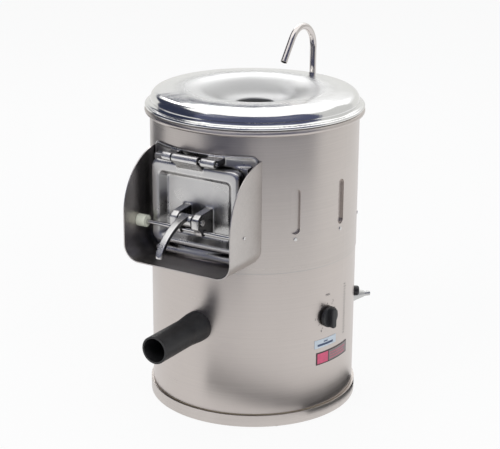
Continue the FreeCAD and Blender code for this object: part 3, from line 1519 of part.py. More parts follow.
def rivet(name, azimuth):
    """A rivet through tank and liner, with its head outside."""
    tail_end = liner_inner - d.fit * 2
    tail = cylinder(f"{name}_tail", d.rivet_head, d.rivet_tail, (0, d.rivet_tail - tail_end, d.rivet_height), FORWARD)
    shank_length = d.tank_radius + d.rivet_crown * 0.5 - tail_end
    shank = cylinder(f"{name}_shank", d.rivet_shank, shank_length, (0, -tail_end, d.rivet_height), FORWARD)
    head_edge = d.rivet_crown * 0.7
    head = put(
        turned(
            f"{name}_head",
            (
                (0, d.tank_radius),
                (d.rivet_head, d.tank_radius),
                (d.rivet_head, d.tank_radius + d.rivet_crown - head_edge),
                (
                    d.rivet_head - head_edge,
                    d.tank_radius + d.rivet_crown,
                    d.rivet_head - head_edge,
                    d.tank_radius + d.rivet_crown - head_edge,
                ),
                (0, d.tank_radius + d.rivet_crown),
            ),
        ),
        (0, 0, d.rivet_height),
        FORWARD,
    )
    return swung(fuse(name, tail, shank, head), azimuth)


node("liner_rivets", group("rivets", [rivet(f"rivet{i}", azimuth) for i, azimuth in enumerate(groove_azimuths)]))

# Door frame: one aluminium casting that hugs the tank, with a neck through the tank's opening, a flat
# seat for the door, a header with two hinge knuckles and a rounded sill. Four screws hold it from inside.
hug = cylinder("hug", d.tank_radius, TALL, (0, 0, 0))
hug_window = box(
    "hug_window",
    (-d.window_half, d.window_half),
    (d.tank_radius * -1.1, d.tank_radius * -0.8),
    (d.window_low, d.window_high),
)
hug_tool = cut("hug_tool", hug, hug_window)
block_depth = d.tank_radius - d.frame_back
frame_block = slab(
    "frame_block",
    (
        (-(d.frame_half - d.frame_corner), d.frame_low, -(d.frame_half - d.frame_corner), d.frame_low + d.frame_corner),
        (d.frame_half - d.frame_corner, d.frame_low),
        (d.frame_half, d.frame_low + d.frame_corner, d.frame_half - d.frame_corner, d.frame_low + d.frame_corner),
        (d.frame_half, d.frame_high),
        (-d.frame_half, d.frame_high),
        (-d.frame_half, d.frame_low + d.frame_corner),
    ),
    d.seat_front,
    d.tank_radius * 0.8,
)
block_trim = box(
    "block_trim",
    (-d.window_half, d.window_half),
    (-d.frame_back, d.tank_radius * -0.7),
    (d.frame_low - d.frame_corner, d.frame_high + d.frame_corner),
)
nose_radius = (d.sill_high - d.frame_low) * 0.5
nose_y = nose_radius - d.sill_front
nose_half = d.flange_half - d.flange_low_corner + nose_radius * 0.4
sill_bar = cylinder("sill_bar", nose_radius, nose_half * 2, (-nose_half, nose_y, d.frame_low + nose_radius), ALONG_X)
sill_block = box("sill_block", (-nose_half, nose_half), (nose_y, -d.frame_back), (d.frame_low, d.sill_high))
knuckle_low = -d.knuckle_outer
door_knuckle_low = knuckle_low + d.left_knuckle + d.knuckle_gap
right_knuckle_low = d.knuckle_outer - d.right_knuckle
hinge_pieces = []
for side, low, high in (
    ("left", knuckle_low, knuckle_low + d.left_knuckle),
    ("right", right_knuckle_low, d.knuckle_outer),
):
    hinge_pieces.append(
        cylinder(f"{side}_knuckle", d.knuckle, high - low, (low, -d.hinge_front, d.hinge_height), ALONG_X)
    )
    arm_z = (d.hinge_height - d.knuckle * 0.85, d.hinge_height + d.knuckle * 0.7)
    hinge_pieces.append(box(f"{side}_arm", (low, high), (-d.hinge_front, -d.seat_front), arm_z))


def flange_outline(inset):
    """The flange's outline with round corners, as far inside its edge as the inset says."""
    half = d.flange_half - inset
    low = d.frame_low + inset
    high = d.flange_top - inset
    low_bend = d.flange_low_corner - inset
    high_bend = d.flange_corner - inset
    return (
        (-(half - low_bend), low, -(half - low_bend), low + low_bend),
        (half - low_bend, low),
        (half, low + low_bend, half - low_bend, low + low_bend),
        (half, high - high_bend),
        (half - high_bend, high, half - high_bend, high - high_bend),
        (-(half - high_bend), high),
        (-half, high - high_bend, -(half - high_bend), high - high_bend),
        (-half, low + low_bend),
    )


flange_out = d.tank_radius + d.flange_sheet
lip_out = flange_out + d.flange_lip
flange_deep = d.tank_radius * 0.8
flange_plate = slab("flange_plate", flange_outline(size(0.0)), lip_out * 1.1, flange_deep)
lip_inside = slab("lip_inside", flange_outline(d.flange_lip_width), lip_out * 1.2, flange_deep * 0.9)
flange_round = cylinder("flange_round", flange_out, d.flange_top * 1.1)
lip_round = cylinder("lip_round", lip_out, d.flange_top * 1.1)
flange_sheet = common("flange_sheet", flange_plate, flange_round)
flange_lip = cut("flange_lip", common("lip_band", flange_plate, lip_round), lip_inside)
pocket = slab(
    "pocket",
    rounded(
        d.door_half + d.door_gap,
        d.door_low - d.door_gap,
        d.door_high + d.door_gap,
        d.door_corner + d.door_gap,
    ),
    lip_out * 1.1,
    d.seat_front,
)
flange = cut("flange", fuse("flange_mass", flange_sheet, flange_lip), hug, pocket)
shelves = [
    common(
        f"{side}_shelf",
        box(f"{side}_board", (-d.window_half, d.window_half), (-lip_out, -d.frame_back), (low, low + d.shelf)),
        flange_round,
    )
    for side, low in (("lower", d.window_low), ("upper", d.window_high - d.shelf))
]
frame_mass = fuse("frame_mass", frame_block, sill_bar, sill_block, *hinge_pieces)
casting = fuse(
    "door_frame",
    cut("frame_hug", frame_mass, hug_tool, block_trim),
    flange,
    *shelves,
    box(
        "neck_block",
        (-d.window_half, d.window_half),
        (-d.seat_front, -d.frame_back),
        (d.window_low, d.window_high),
    ),
)
throat = slab(
    "throat",
    rounded(d.throat_half, d.throat_low, d.throat_high, d.throat_corner),
    lip_out * 1.1,
    d.frame_back * 0.9,
)
pin_bore = cylinder(
    "pin_bore",
    d.hinge_pin + d.fit,
    d.pin_half * 2,
    (-d.pin_half, -d.hinge_front, d.hinge_height),
    ALONG_X,
)
frame_screw_ends = d.tank_radius + d.frame_screw_length


def frame_tapping(name, azimuth, height):
    start = d.tank_radius * 0.96
    hole = cylinder(name, d.screw_radius + d.hole_gap, frame_screw_ends - start, (0, -start, height), FORWARD)
    return swung(hole, azimuth)


frame_tappings = [frame_tapping(f"frame_tapping{i}", *spot) for i, spot in enumerate(frame_screw_spots)]
node("door_frame", cut("door_frame", casting, throat, pin_bore, group("frame_tappings", frame_tappings)))


def frame_screw(name, azimuth, height):
    """A screw from inside the tank into the casting."""
    seat = tank_inner - d.fit * 2
    seat_at = (0, d.screw_head_height * 0.6 - seat, height)
    head = cylinder(f"{name}_head", d.screw_head * 0.8, d.screw_head_height * 0.6, seat_at, FORWARD)
    shank = cylinder(f"{name}_shank", d.screw_radius, frame_screw_ends - seat - d.slack, (0, -seat, height), FORWARD)
    return swung(fuse(name, head, shank), azimuth)


frame_screws = [frame_screw(f"frame_screw{i}", *spot) for i, spot in enumerate(frame_screw_spots)]
node("frame_screws", group("frame_screw_set", frame_screws))
lip = 1.5
gasket_inner = slab(
    "gasket_inner",
    rounded(d.throat_half + lip, d.throat_low - lip, d.throat_high + lip, d.throat_corner + lip),
    d.seat_front * 1.1,
    d.seat_front * 0.9,
)
gasket_edge = d.gasket_width + lip
gasket_outer = slab(
    "gasket_outer",
    rounded(
        d.throat_half + gasket_edge,
        d.throat_low - gasket_edge,
        d.throat_high + gasket_edge,
        d.throat_corner + gasket_edge,
    ),
    d.seat_front + d.gasket,
    d.seat_front,
)
node("door_gasket", cut("door_gasket", gasket_outer, gasket_inner))
node(
    "hinge_pin",
    cylinder("pin", d.hinge_pin, d.pin_half * 2, (-d.pin_half, -d.hinge_front, d.hinge_height), ALONG_X),
)

# Door: a dished aluminium casting that hangs from the hinge pin, with two ears in its recess for the
# latch lever and the latch bar.
door_back = d.seat_front + d.gasket + d.slack
door_front = door_back + d.door_depth
panel_front = door_back + d.door_skin
door_slab = slab(
    "door_slab",
    rounded(d.door_half, d.door_low, d.door_high, d.door_corner),
    door_front,
    door_back,
    rounding=d.door_round,
)
recess_step = (d.recess_low - d.door_low) * 0.7
recess = funnel(
    "recess",
    rounded(
        d.recess_half - d.recess_draft,
        d.recess_low + recess_step,
        d.recess_high - recess_step,
        d.recess_corner * 0.7,
    ),
    rounded(d.recess_half, d.recess_low, d.recess_high, d.recess_corner),
    door_front,
    panel_front,
)
web_root = d.door_high - d.door_round
web_outline = (
    (-(d.hinge_front + d.knuckle * 0.7), d.hinge_height - d.knuckle * 0.5),
    (-door_front, web_root - d.door_skin),
    (-(door_back + d.knuckle), web_root - d.door_skin),
    (-(door_back + d.knuckle), d.door_high),
    (-(d.hinge_front - d.knuckle * 1.25), d.door_high + d.knuckle * 0.5),
    (-(d.hinge_front - d.knuckle * 0.9), d.hinge_height),
)
web = padded("web", "YZ_Plane", web_outline, d.door_knuckle, (door_knuckle_low, 0, 0))
door_knuckle = cylinder(
    "door_knuckle", d.knuckle, d.door_knuckle, (door_knuckle_low, -d.hinge_front, d.hinge_height), ALONG_X
)
notch_x = d.knuckle
notch_outline = (
    (-notch_x, d.recess_high),
    (-(notch_x - d.door_skin), d.recess_high - d.door_skin),
    (-(notch_x - d.door_skin), d.recess_high + d.door_skin * 2),
    (-(notch_x + d.door_skin), d.recess_high + d.door_skin * 2),
    (-(notch_x + d.door_skin), d.recess_high - d.door_skin),
)
ear_outline = (
    (-(panel_front - 1), d.ear_high),
    (-d.latch_front, d.ear_high - 3),
    (-d.ear_front, d.latch_height + d.lever_boss * 0.6),
    (-d.ear_front, d.latch_height - d.lever_boss),
    (-d.latch_front, d.bar_height),
    (-(panel_front - 1), d.ear_low),
)
ears = []
for side, low in (("left", -(d.ear_inner + d.ear_width)), ("right", d.ear_inner)):
    ears.append(padded(f"{side}_ear", "YZ_Plane", ear_outline, d.ear_width, (low, 0, 0)))
    ears.append(
        cylinder(f"{side}_eye", d.bar_eye, d.ear_width, (low, -d.bar_front, d.bar_height), ALONG_X)
    )
ear_outer = d.ear_inner + d.ear_width
door_mass = cut("door_dish", door_slab, recess)
latch_bore = cylinder(
    "latch_bore", d.latch_pin + d.fit, ear_outer * 2.2, (ear_outer * -1.1, -d.latch_front, d.latch_height), ALONG_X
)
bar_bore = cylinder(
    "bar_bore", d.bar_radius + d.fit, ear_outer * 2.2, (ear_outer * -1.1, -d.bar_front, d.bar_height), ALONG_X
)
door_pin_bore = cylinder(
    "door_pin_bore",
    d.hinge_pin + d.fit,
    d.pin_half * 2,
    (-d.pin_half, -d.hinge_front, d.hinge_height),
    ALONG_X,
)
node(
    "door",
    cut("door", fuse("door", door_mass, web, door_knuckle, *ears), latch_bore, bar_bore, door_pin_bore),
)

# Latch: a cast lever on a pin between the ears, and a steel bar through the ears with a nylon roller on
# each end that guides the door between the chute's wings.
head_gap = d.slack
head_length = d.latch_pin * 0.75
pin_reach = ear_outer + head_gap
latch_rod = cylinder("latch_rod", d.latch_pin, pin_reach * 2, (-pin_reach, -d.latch_front, d.latch_height), ALONG_X)
latch_heads = [
    cylinder(f"latch_head{i}", d.latch_head, head_length, (low, -d.latch_front, d.latch_height), ALONG_X)
    for i, low in enumerate((-(pin_reach + head_length), pin_reach))
]
node("latch_pin", fuse("latch_pin", latch_rod, *latch_heads))
node(
    "latch_bar",
    cylinder("bar", d.bar_radius, d.bar_half * 2, (-d.bar_half, -d.bar_front, d.bar_height), ALONG_X),
)
roller_outer = d.chute_half - d.chute_sheet - d.roller_gap
roller_starts = (-roller_outer, roller_outer - d.roller_length)
rollers = [
    pipe_shell(
        f"roller{i}",
        d.roller_radius,
        d.bar_radius + d.fit,
        d.roller_length,
        (low, -d.bar_front, d.bar_height),
        ALONG_X,
    )
    for i, low in enumerate(roller_starts)
]
node("nylon_rollers", group("roller_pair", rollers))

lever_half = d.ear_inner - d.lever_gap
boss = cylinder("boss", d.lever_boss, lever_half * 2, (-lever_half, -d.latch_front, d.latch_height), ALONG_X)
tip_y = -(d.latch_front + d.lever_reach)
tip_z = d.latch_height - d.lever_drop


def arch_centre(from_y, from_z, to_y, to_z, radius):
    """The centre below the chord of an arc with this radius through two points."""
    half_y = (to_y - from_y) * 0.5
    half_z = (to_z - from_z) * 0.5
    square = half_y * half_y + half_z * half_z
    away = root(radius * radius / square - 1)
    return from_y + half_y - half_z * away, from_z + half_z + half_y * away


outer_tip = (tip_y - d.lever_thin * 0.45, tip_z + d.lever_thin * 0.25)
inner_tip = (tip_y + d.lever_thin * 0.45, tip_z - d.lever_thin * 0.25)
outer_root = (-(d.latch_front - d.lever_boss * 0.3), d.latch_height + d.lever_boss * 0.95)
inner_root = (-d.latch_front, d.latch_height + d.lever_boss - d.lever_thick)
lever_outline = (
    outer_root,
    (*outer_tip, *arch_centre(*outer_root, *outer_tip, d.lever_arch)),
    (tip_y - d.lever_thin * 0.25, tip_z - d.lever_thin * 0.45, tip_y, tip_z),
    (*inner_tip, tip_y, tip_z),
    (*inner_root, *arch_centre(*inner_root, *inner_tip, d.lever_arch_inner)),
)
lever_side = padded("lever_side", "YZ_Plane", lever_outline, d.lever_root * 1.2, (d.lever_root * -0.6, 0, 0))
plan_half = d.lever_tip * 0.5
plan_end = tip_y + plan_half - d.lever_thin * 0.5
plan_outline = (
    (-d.lever_root * 0.5, -d.latch_front),
    (-plan_half, plan_end),
    (0, plan_end - plan_half, 0, plan_end),
    (plan_half, plan_end, 0, plan_end),
    (d.lever_root * 0.5, -d.latch_front),
)
lever_plan = padded(
    "lever_plan",
    "XY_Plane",
    plan_outline,
    d.lever_drop * 3,
    (0, 0, d.latch_height - d.lever_drop * 1.5),
)
lever_bore = cylinder(
    "lever_bore", d.latch_pin + d.fit, lever_half * 2, (-lever_half, -d.latch_front, d.latch_height), ALONG_X
)
lever_arm = common("lever_arm", lever_side, lever_plan)
node("latch_lever", cut("latch_lever", fuse("latch_lever", boss, lever_arm), lever_bore))

# Chute: one bent stainless sheet, a floor and two wings with round upper edges, welded to the tank. A
# stud stands in each wing beside the latch bar.
bend_low = d.chute_low + d.chute_corner
bend_in = d.chute_half - d.chute_corner
inside_half = d.chute_half - d.chute_sheet
inside_low = d.chute_low + d.chute_sheet
chute_high = d.flange_top - d.flange_corner * 0.75
chute_outline = (
    (-bend_in, d.chute_low, -bend_in, bend_low),
    (bend_in, d.chute_low),
    (d.chute_half, bend_low, bend_in, bend_low),
    (d.chute_half, chute_high),
    (inside_half, chute_high),
    (inside_half, bend_low),
    (bend_in, inside_low, bend_in, bend_low),
    (-bend_in, inside_low),
    (-inside_half, bend_low, -bend_in, bend_low),
    (-inside_half, chute_high),
    (-d.chute_half, chute_high),
    (-d.chute_half, bend_low),
)
trough = slab("trough", chute_outline, d.chute_front, d.tank_radius * 0.75)
arc_y = d.wing_arc - d.chute_front
arc_z = chute_high - d.wing_arc
wing_outline = (
    (d.tank_radius * -0.7, d.chute_low - d.sheet),
    (d.tank_radius * -0.7, chute_high),
    (arc_y, chute_high),
    (-d.chute_front, arc_z, arc_y, arc_z),
    (-d.chute_front, d.chute_low - d.sheet),
)
wing_shape = padded("wing_shape", "YZ_Plane", wing_outline, d.chute_half * 2.2, (d.chute_half * -1.1, 0, 0))
chute_back = cylinder("chute_back", d.tank_radius, TALL, (0, 0, 0))
stud_z = d.bar_height + 4
stud_y = 1 - d.bar_front
stud_hole = cylinder("stud_hole", d.rivet_shank, d.chute_half * 2, (-d.chute_half, stud_y, stud_z), ALONG_X)
node("discharge_chute", cut("discharge_chute", common("chute_sheet", trough, wing_shape), chute_back, stud_hole))
studs = []
for side, head_low, shank_low in (
    ("left", -(d.chute_half + d.stud_crown), -(d.chute_half + d.stud_crown * 0.5)),
    ("right", d.chute_half, inside_half),
):
    shank_length = d.chute_sheet + d.stud_crown * 0.5
    stud_head = cylinder(f"{side}_stud_head", d.stud_head, d.stud_crown, (head_low, stud_y, stud_z), ALONG_X)
    stud_shank = cylinder(
        f"{side}_stud_shank", d.rivet_shank - d.fit, shank_length, (shank_low, stud_y, stud_z), ALONG_X
    )
    studs.append(fuse(f"{side}_stud", stud_head, stud_shank))
node("wing_studs", group("studs", studs))

# Lid: one spun aluminium ring that sinks to a water hole in the middle, with a round shoulder, a wall that
# flares out to a rolled edge over the tank's rim, and a locating skirt inside the tank.
lid_well = lid_flange + d.well_rise
hole_edge = d.lid_hole + d.lid_hole_bend
fall = lid_crest - lid_well
span = d.lid_crest_circle - hole_edge
reach_squared = span * span + fall * fall
slope_sine = span * fall * 2 / reach_squared
slope_cosine = (span * span - fall * fall) / reach_squared
foot_radius = reach_squared / (fall * 2) - d.lid_bowl
bowl_z = lid_crest - d.lid_bowl
foot_z = lid_well + foot_radius
flex_r = d.lid_crest_circle - d.lid_bowl * slope_sine
flex_z = bowl_z + d.lid_bowl * slope_cosine
under_bowl = d.lid_bowl - d.lid_sheet
brow_z = lid_crest - d.lid_brow
shoulder_out = d.lid_shoulder - d.lid_crest_circle
shoulder_z = brow_z + root(d.lid_brow * d.lid_brow - shoulder_out * shoulder_out)
lean_r = shoulder_out / d.lid_brow
lean_z = (shoulder_z - brow_z) / d.lid_brow
shoulder_radius = (d.lid_wall - d.lid_shoulder) / (1 - lean_r)
corner_r = d.lid_wall - shoulder_radius
corner_z = shoulder_z - shoulder_radius * lean_z
flange_high = lid_flange + d.lid_sheet
lid_inner = d.lid_wall - d.lid_sheet
skirt_outer = tank_inner - d.skirt_gap
skirt_inner = skirt_outer - d.lid_sheet
skirt_top = flange_high + d.lid_sheet
skirt_low = lid_flange - d.skirt_depth
bead_z = lid_flange + d.lid_bead
flare_r = d.lid_wall + d.lid_flare
flare_out = d.lid_bead_circle - flare_r
flare_reach = d.lid_flare + d.lid_bead
flare_z = bead_z + root(flare_reach * flare_reach - flare_out * flare_out)
flare_share = d.lid_flare / flare_reach
meet_r = flare_r + flare_out * flare_share
meet_z = flare_z - (flare_z - bead_z) * flare_share
node(
    "lid",
    turned(
        "lid_shape",
        (
            (d.lid_hole, lid_well - d.lid_hole_collar),
            (d.lid_hole, lid_well - d.lid_hole_bend),
            (hole_edge, lid_well, hole_edge, lid_well - d.lid_hole_bend),
            (flex_r, flex_z, hole_edge, foot_z),
            (d.lid_crest_circle, lid_crest, d.lid_crest_circle, bowl_z),
            (d.lid_shoulder, shoulder_z, d.lid_crest_circle, brow_z),
            (d.lid_wall, corner_z, corner_r, corner_z),
            (d.lid_wall, flare_z),
            (meet_r, meet_z, flare_r, flare_z),
            (d.lid_bead_circle + d.lid_bead, bead_z, d.lid_bead_circle, bead_z),
            (d.lid_bead_circle, lid_flange, d.lid_bead_circle, bead_z),
            (skirt_outer, lid_flange),
            (skirt_outer, skirt_low),
            (skirt_inner, skirt_low),
            (skirt_inner, skirt_top),
            (lid_inner, skirt_top),
            (lid_inner, corner_z),
            (
                d.lid_shoulder - d.lid_sheet * lean_r,
                shoulder_z - d.lid_sheet * lean_z,
                corner_r,
                corner_z,
            ),
            (d.lid_crest_circle, lid_crest - d.lid_sheet, d.lid_crest_circle, brow_z),
            (
                d.lid_crest_circle - under_bowl * slope_sine,
                bowl_z + under_bowl * slope_cosine,
                d.lid_crest_circle,
                bowl_z,
            ),
            (hole_edge, lid_well - d.lid_sheet, hole_edge, foot_z),
            (
                d.lid_hole + d.lid_sheet,
                lid_well - d.lid_hole_bend,
                hole_edge,
                lid_well - d.lid_hole_bend,
            ),
            (d.lid_hole + d.lid_sheet, lid_well - d.lid_hole_collar),
        ),
    ),
)

doc.recompute()
for obj in doc.Objects:
    if "Invalid" in obj.State or "Error" in obj.State:
        raise RuntimeError(f"{obj.Name} failed: {obj.State}")
names = [obj.Label for obj in nodes]
if len(set(names)) != len(names):
    raise RuntimeError("two pieces share a name")
os.makedirs("parts", exist_ok=True)
for obj in nodes:
    if obj.Shape.isNull() or not obj.Shape.isValid() or not obj.Shape.Solids:
        raise RuntimeError(f"{obj.Label} has no valid solid")
    obj.Shape.exportStep(os.path.join("parts", f"{obj.Label}.step"))
    print(obj.Label, len(obj.Shape.Solids), round(obj.Shape.Volume, 1))
print(len(nodes), "pieces")
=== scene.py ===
import bpy, math
from mathutils import Matrix, Vector


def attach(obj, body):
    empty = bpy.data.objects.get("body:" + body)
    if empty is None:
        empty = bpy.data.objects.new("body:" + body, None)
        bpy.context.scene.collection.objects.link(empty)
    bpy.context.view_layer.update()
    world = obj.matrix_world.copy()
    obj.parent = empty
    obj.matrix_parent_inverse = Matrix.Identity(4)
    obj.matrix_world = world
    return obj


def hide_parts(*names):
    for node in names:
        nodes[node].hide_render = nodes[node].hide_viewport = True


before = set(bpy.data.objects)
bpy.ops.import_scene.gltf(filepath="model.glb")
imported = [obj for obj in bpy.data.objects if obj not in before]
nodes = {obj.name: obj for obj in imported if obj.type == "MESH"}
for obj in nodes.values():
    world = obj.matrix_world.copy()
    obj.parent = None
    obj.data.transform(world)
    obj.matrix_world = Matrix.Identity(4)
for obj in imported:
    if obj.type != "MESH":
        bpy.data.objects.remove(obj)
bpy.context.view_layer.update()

# Camera: the photograph's own viewpoint, in front of the machine and well to its right, looking down on
# the lid. It leans by half a degree, as the picture does.
camera_turn = math.radians(31.6)
camera_away = 2.633
camera_height = 1.19
camera_tip = math.radians(90 - 18.21)
camera_lean = math.radians(0.46)
camera_data = bpy.data.cameras.new("camera")
camera_data.lens = 106.9
camera_data.sensor_width = 36
camera_data.shift_x = -0.0078
camera_data.clip_end = 60
camera = bpy.data.objects.new("camera", camera_data)
bpy.context.scene.collection.objects.link(camera)
camera_place = (camera_away * math.sin(camera_turn), -camera_away * math.cos(camera_turn), camera_height)
camera.matrix_world = (
    Matrix.Translation(camera_place)
    @ Matrix.Rotation(camera_turn, 4, "Z")
    @ Matrix.Rotation(camera_tip, 4, "X")
    @ Matrix.Rotation(camera_lean, 4, "Z")
)
bpy.context.scene.camera = camera
bpy.context.scene.view_settings.view_transform = "Standard"


# Studio light: three large soft lamps, a small one, a plain world that metal sees as white, and a bright
# ceiling and grey and dark screens out of the camera's sight, whose reflections give the metal its edges.
def lamp(name, place, aim, width, height, power):
    """A soft rectangular studio lamp."""
    light = bpy.data.lights.new(name, "AREA")
    light.shape = "RECTANGLE"
    light.size, light.size_y, light.energy = width, height, power
    holder = bpy.data.objects.new(name, light)
    bpy.context.scene.collection.objects.link(holder)
    holder.location = place
    holder.rotation_euler = (Vector(aim) - Vector(place)).to_track_quat("-Z", "Y").to_euler()


lamp("lamp_key", (-0.7, -2.3, 2.5), (0, 0, 0.35), 1.5, 1.1, 26)
lamp("lamp_right", (2.3, -1.3, 2.3), (0, 0, 0.35), 1.3, 1.3, 24)
lamp("lamp_rear", (-1.6, 2.2, 2.4), (0, 0, 0.4), 1.6, 1.2, 14)
lamp("lamp_small", (-1.451, 1.235, 1.67), (0, 0, 0.56), 0.12, 0.12, 1.3)

world = bpy.data.worlds.new("studio")
bpy.context.scene.world = world
world.use_nodes = True
sky = world.node_tree
soft = sky.nodes["Background"]
soft.inputs["Color"].default_value = (0.95, 0.97, 1.0, 1)
soft.inputs["Strength"].default_value = 0.5
bright = sky.nodes.new("ShaderNodeBackground")
bright.inputs["Color"].default_value = (1, 1, 1, 1)
bright.inputs["Strength"].default_value = 1.0
ray = sky.nodes.new("ShaderNodeLightPath")
seen = sky.nodes.new("ShaderNodeMath")
seen.operation = "MAXIMUM"
shown = sky.nodes.new("ShaderNodeMath")
shown.operation = "MAXIMUM"
shared = sky.nodes.new("ShaderNodeMixShader")
sky.links.new(ray.outputs["Is Camera Ray"], seen.inputs[0])
sky.links.new(ray.outputs["Is Transmission Ray"], seen.inputs[1])
sky.links.new(seen.outputs[0], shown.inputs[0])
sky.links.new(ray.outputs["Is Glossy Ray"], shown.inputs[1])
sky.links.new(shown.outputs[0], shared.inputs["Fac"])
sky.links.new(soft.outputs[0], shared.inputs[1])
sky.links.new(bright.outputs[0], shared.inputs[2])
sky.links.new(shared.outputs[0], sky.nodes["World Output"].inputs["Surface"])


def screen(name, color, turn_from, turn_to, near, far, low, high, drawn_in=1.0):
    """A screen on an arc round the machine, which only reflections see.

    It leans from near and low to far and high. drawn_in is what its distance has shrunk to at the arc's end.
    """
    steps = 24
    paint = bpy.data.materials.new(name)
    paint.use_nodes = True
    card = paint.node_tree
    glow = card.nodes.new("ShaderNodeEmission")
    glow.inputs["Color"].default_value = (*color, 1)
    card.links.new(glow.outputs[0], card.nodes["Material Output"].inputs["Surface"])
    spots, sides = [], []
    for i in range(steps + 1):
        turn = math.radians(turn_from + (turn_to - turn_from) * i / steps)
        close = 1 + (drawn_in - 1) * i / steps
        spots.append((close * near * math.sin(turn), -close * near * math.cos(turn), low))
        spots.append((close * far * math.sin(turn), -close * far * math.cos(turn), high))
    for i in range(steps):
        sides.append((2 * i, 2 * i + 1, 2 * i + 3, 2 * i + 2))
    mesh = bpy.data.meshes.new(name)
    mesh.from_pydata(spots, [], sides)
    mesh.materials.append(paint)
    board = bpy.data.objects.new(name, mesh)
    bpy.context.scene.collection.objects.link(board)
    board.visible_camera = False
    board.visible_diffuse = False
    board.visible_shadow = False
    board.visible_transmission = False


base_shade_black = (0.01, 0.01, 0.012)
night = (0.035, 0.042, 0.075)
dusk = (0.06, 0.062, 0.075)
evening = (0.095, 0.105, 0.18)
fog = (0.70, 0.70, 0.69)
mist = (0.84, 0.84, 0.82)
glare = (1.4, 1.4, 1.4)
screen("screen_front", evening, -34, 104, 3.4, 1.7, 0.0, 3.2)
screen("screen_left", night, -95, -32, 3.4, 2.2, 0.0, 3.9)
screen("screen_left_high", night, -118, -95, 3.0, 2.0, 1.42, 3.6)
screen("screen_left_back", night, -152, -118, 3.0, 3.0, 1.49, 1.83)
screen("screen_back_band", night, 209, 218, 3.0, 3.0, 1.42, 1.82)
screen("screen_right", fog, 104, 160, 3.3, 3.3, 0.0, 3.2)
screen("screen_back", mist, 160, 265, 3.1, 3.1, 0.0, 1.42)
screen("screen_floor", dusk, -26, 98, 1.95, 3.39, 0.004, 0.004)
screen("screen_floor_front", night, -18, 24, 1.15, 1.95, 0.005, 0.005)
# Two black sheets flat on the floor close round the base stand in for the shade there; their reflections
# paint dark patches low on the housing.
screen("screen_floor_near", base_shade_black, -8, 66, 0.325, 0.42, 0.006, 0.006, drawn_in=0.70)
screen("screen_floor_side", base_shade_black, 66, 128, 0.212, 0.292, 0.006, 0.006, drawn_in=0.92)
screen("ceiling_front", glare, -34, 104, 0.0, 1.7, 3.2, 3.2)
screen("ceiling_sides", glare, 104, 326, 0.0, 2.6, 3.2, 3.2)
screen("ceiling_rear", glare, 120, 260, 2.6, 6.7, 3.2, 3.2)
screen("screen_floor_left", dusk, -112, -80, 1.15, 2.5, 0.004, 0.004)

# Floor: a plain sheet of pale studio paper under the machine. The camera and reflections see it mostly
# as white, and the rest of it is matt paper that takes the machine's shadow.
floor_reach = 9
floor_white = 0.9
floor_corners = [(x * floor_reach, y * floor_reach, 0) for x, y in ((-1, -1), (1, -1), (1, 1), (-1, 1))]
floor_mesh = bpy.data.meshes.new("floor")
floor_mesh.from_pydata(floor_corners, [], [(0, 1, 2, 3)])
floor = bpy.data.objects.new("floor", floor_mesh)
bpy.context.scene.collection.objects.link(floor)
floor_paper = bpy.data.materials.new("floor_paper")
floor_paper.use_nodes = True
paper = floor_paper.node_tree
paper.nodes["Principled BSDF"].inputs["Base Color"].default_value = (0.9, 0.9, 0.9, 1)
paper.nodes["Principled BSDF"].inputs["Roughness"].default_value = 0.9
glow = paper.nodes.new("ShaderNodeEmission")
glow.inputs["Color"].default_value = (1, 1, 1, 1)
look = paper.nodes.new("ShaderNodeLightPath")
either = paper.nodes.new("ShaderNodeMath")
either.operation = "MAXIMUM"
half = paper.nodes.new("ShaderNodeMath")
half.operation = "MULTIPLY"
half.inputs[1].default_value = floor_white
paper.links.new(look.outputs["Is Camera Ray"], either.inputs[0])
paper.links.new(look.outputs["Is Glossy Ray"], either.inputs[1])
paper.links.new(either.outputs[0], half.inputs[0])
blend = paper.nodes.new("ShaderNodeMixShader")
paper.links.new(half.outputs[0], blend.inputs["Fac"])
paper.links.new(paper.nodes["Principled BSDF"].outputs[0], blend.inputs[1])
paper.links.new(glow.outputs[0], blend.inputs[2])
paper.links.new(blend.outputs[0], paper.nodes["Material Output"].inputs["Surface"])
floor_mesh.materials.append(floor_paper)


# Base: a rolled stainless ring of angle section with a satin outside, four rubber feet pushed through its
# flange, a zinc-plated base plate with its screws, and a thin tan seal under the housing.
def joined(tree, kind, **values):
    """A node of this kind with its plain values set."""
    item = tree.nodes.new(kind)
    for key, value in values.items():
        if key in item.inputs:
            item.inputs[key].default_value = value
        else:
            setattr(item, key, value)
    return item


def remapped(tree, value, from_low, from_high, to_low, to_high):
    """A value carried from one span to another and held at its ends."""
    scale = joined(tree, "ShaderNodeMapRange")
    ends = {"From Min": from_low, "From Max": from_high, "To Min": to_low, "To Max": to_high}
    for key, number in ends.items():
        scale.inputs[key].default_value = number
    tree.links.new(value, scale.inputs["Value"])
    return scale.outputs[0]


def off_axis(tree, place):
    """How far a point lies from the machine's upright axis, and how high it lies."""
    split = joined(tree, "ShaderNodeSeparateXYZ")
    tree.links.new(place, split.inputs[0])
    flat = joined(tree, "ShaderNodeCombineXYZ")
    tree.links.new(split.outputs[0], flat.inputs[0])
    tree.links.new(split.outputs[1], flat.inputs[1])
    out = joined(tree, "ShaderNodeVectorMath", operation="LENGTH")
    tree.links.new(flat.outputs[0], out.inputs[0])
    return out.outputs["Value"], split.outputs[2]


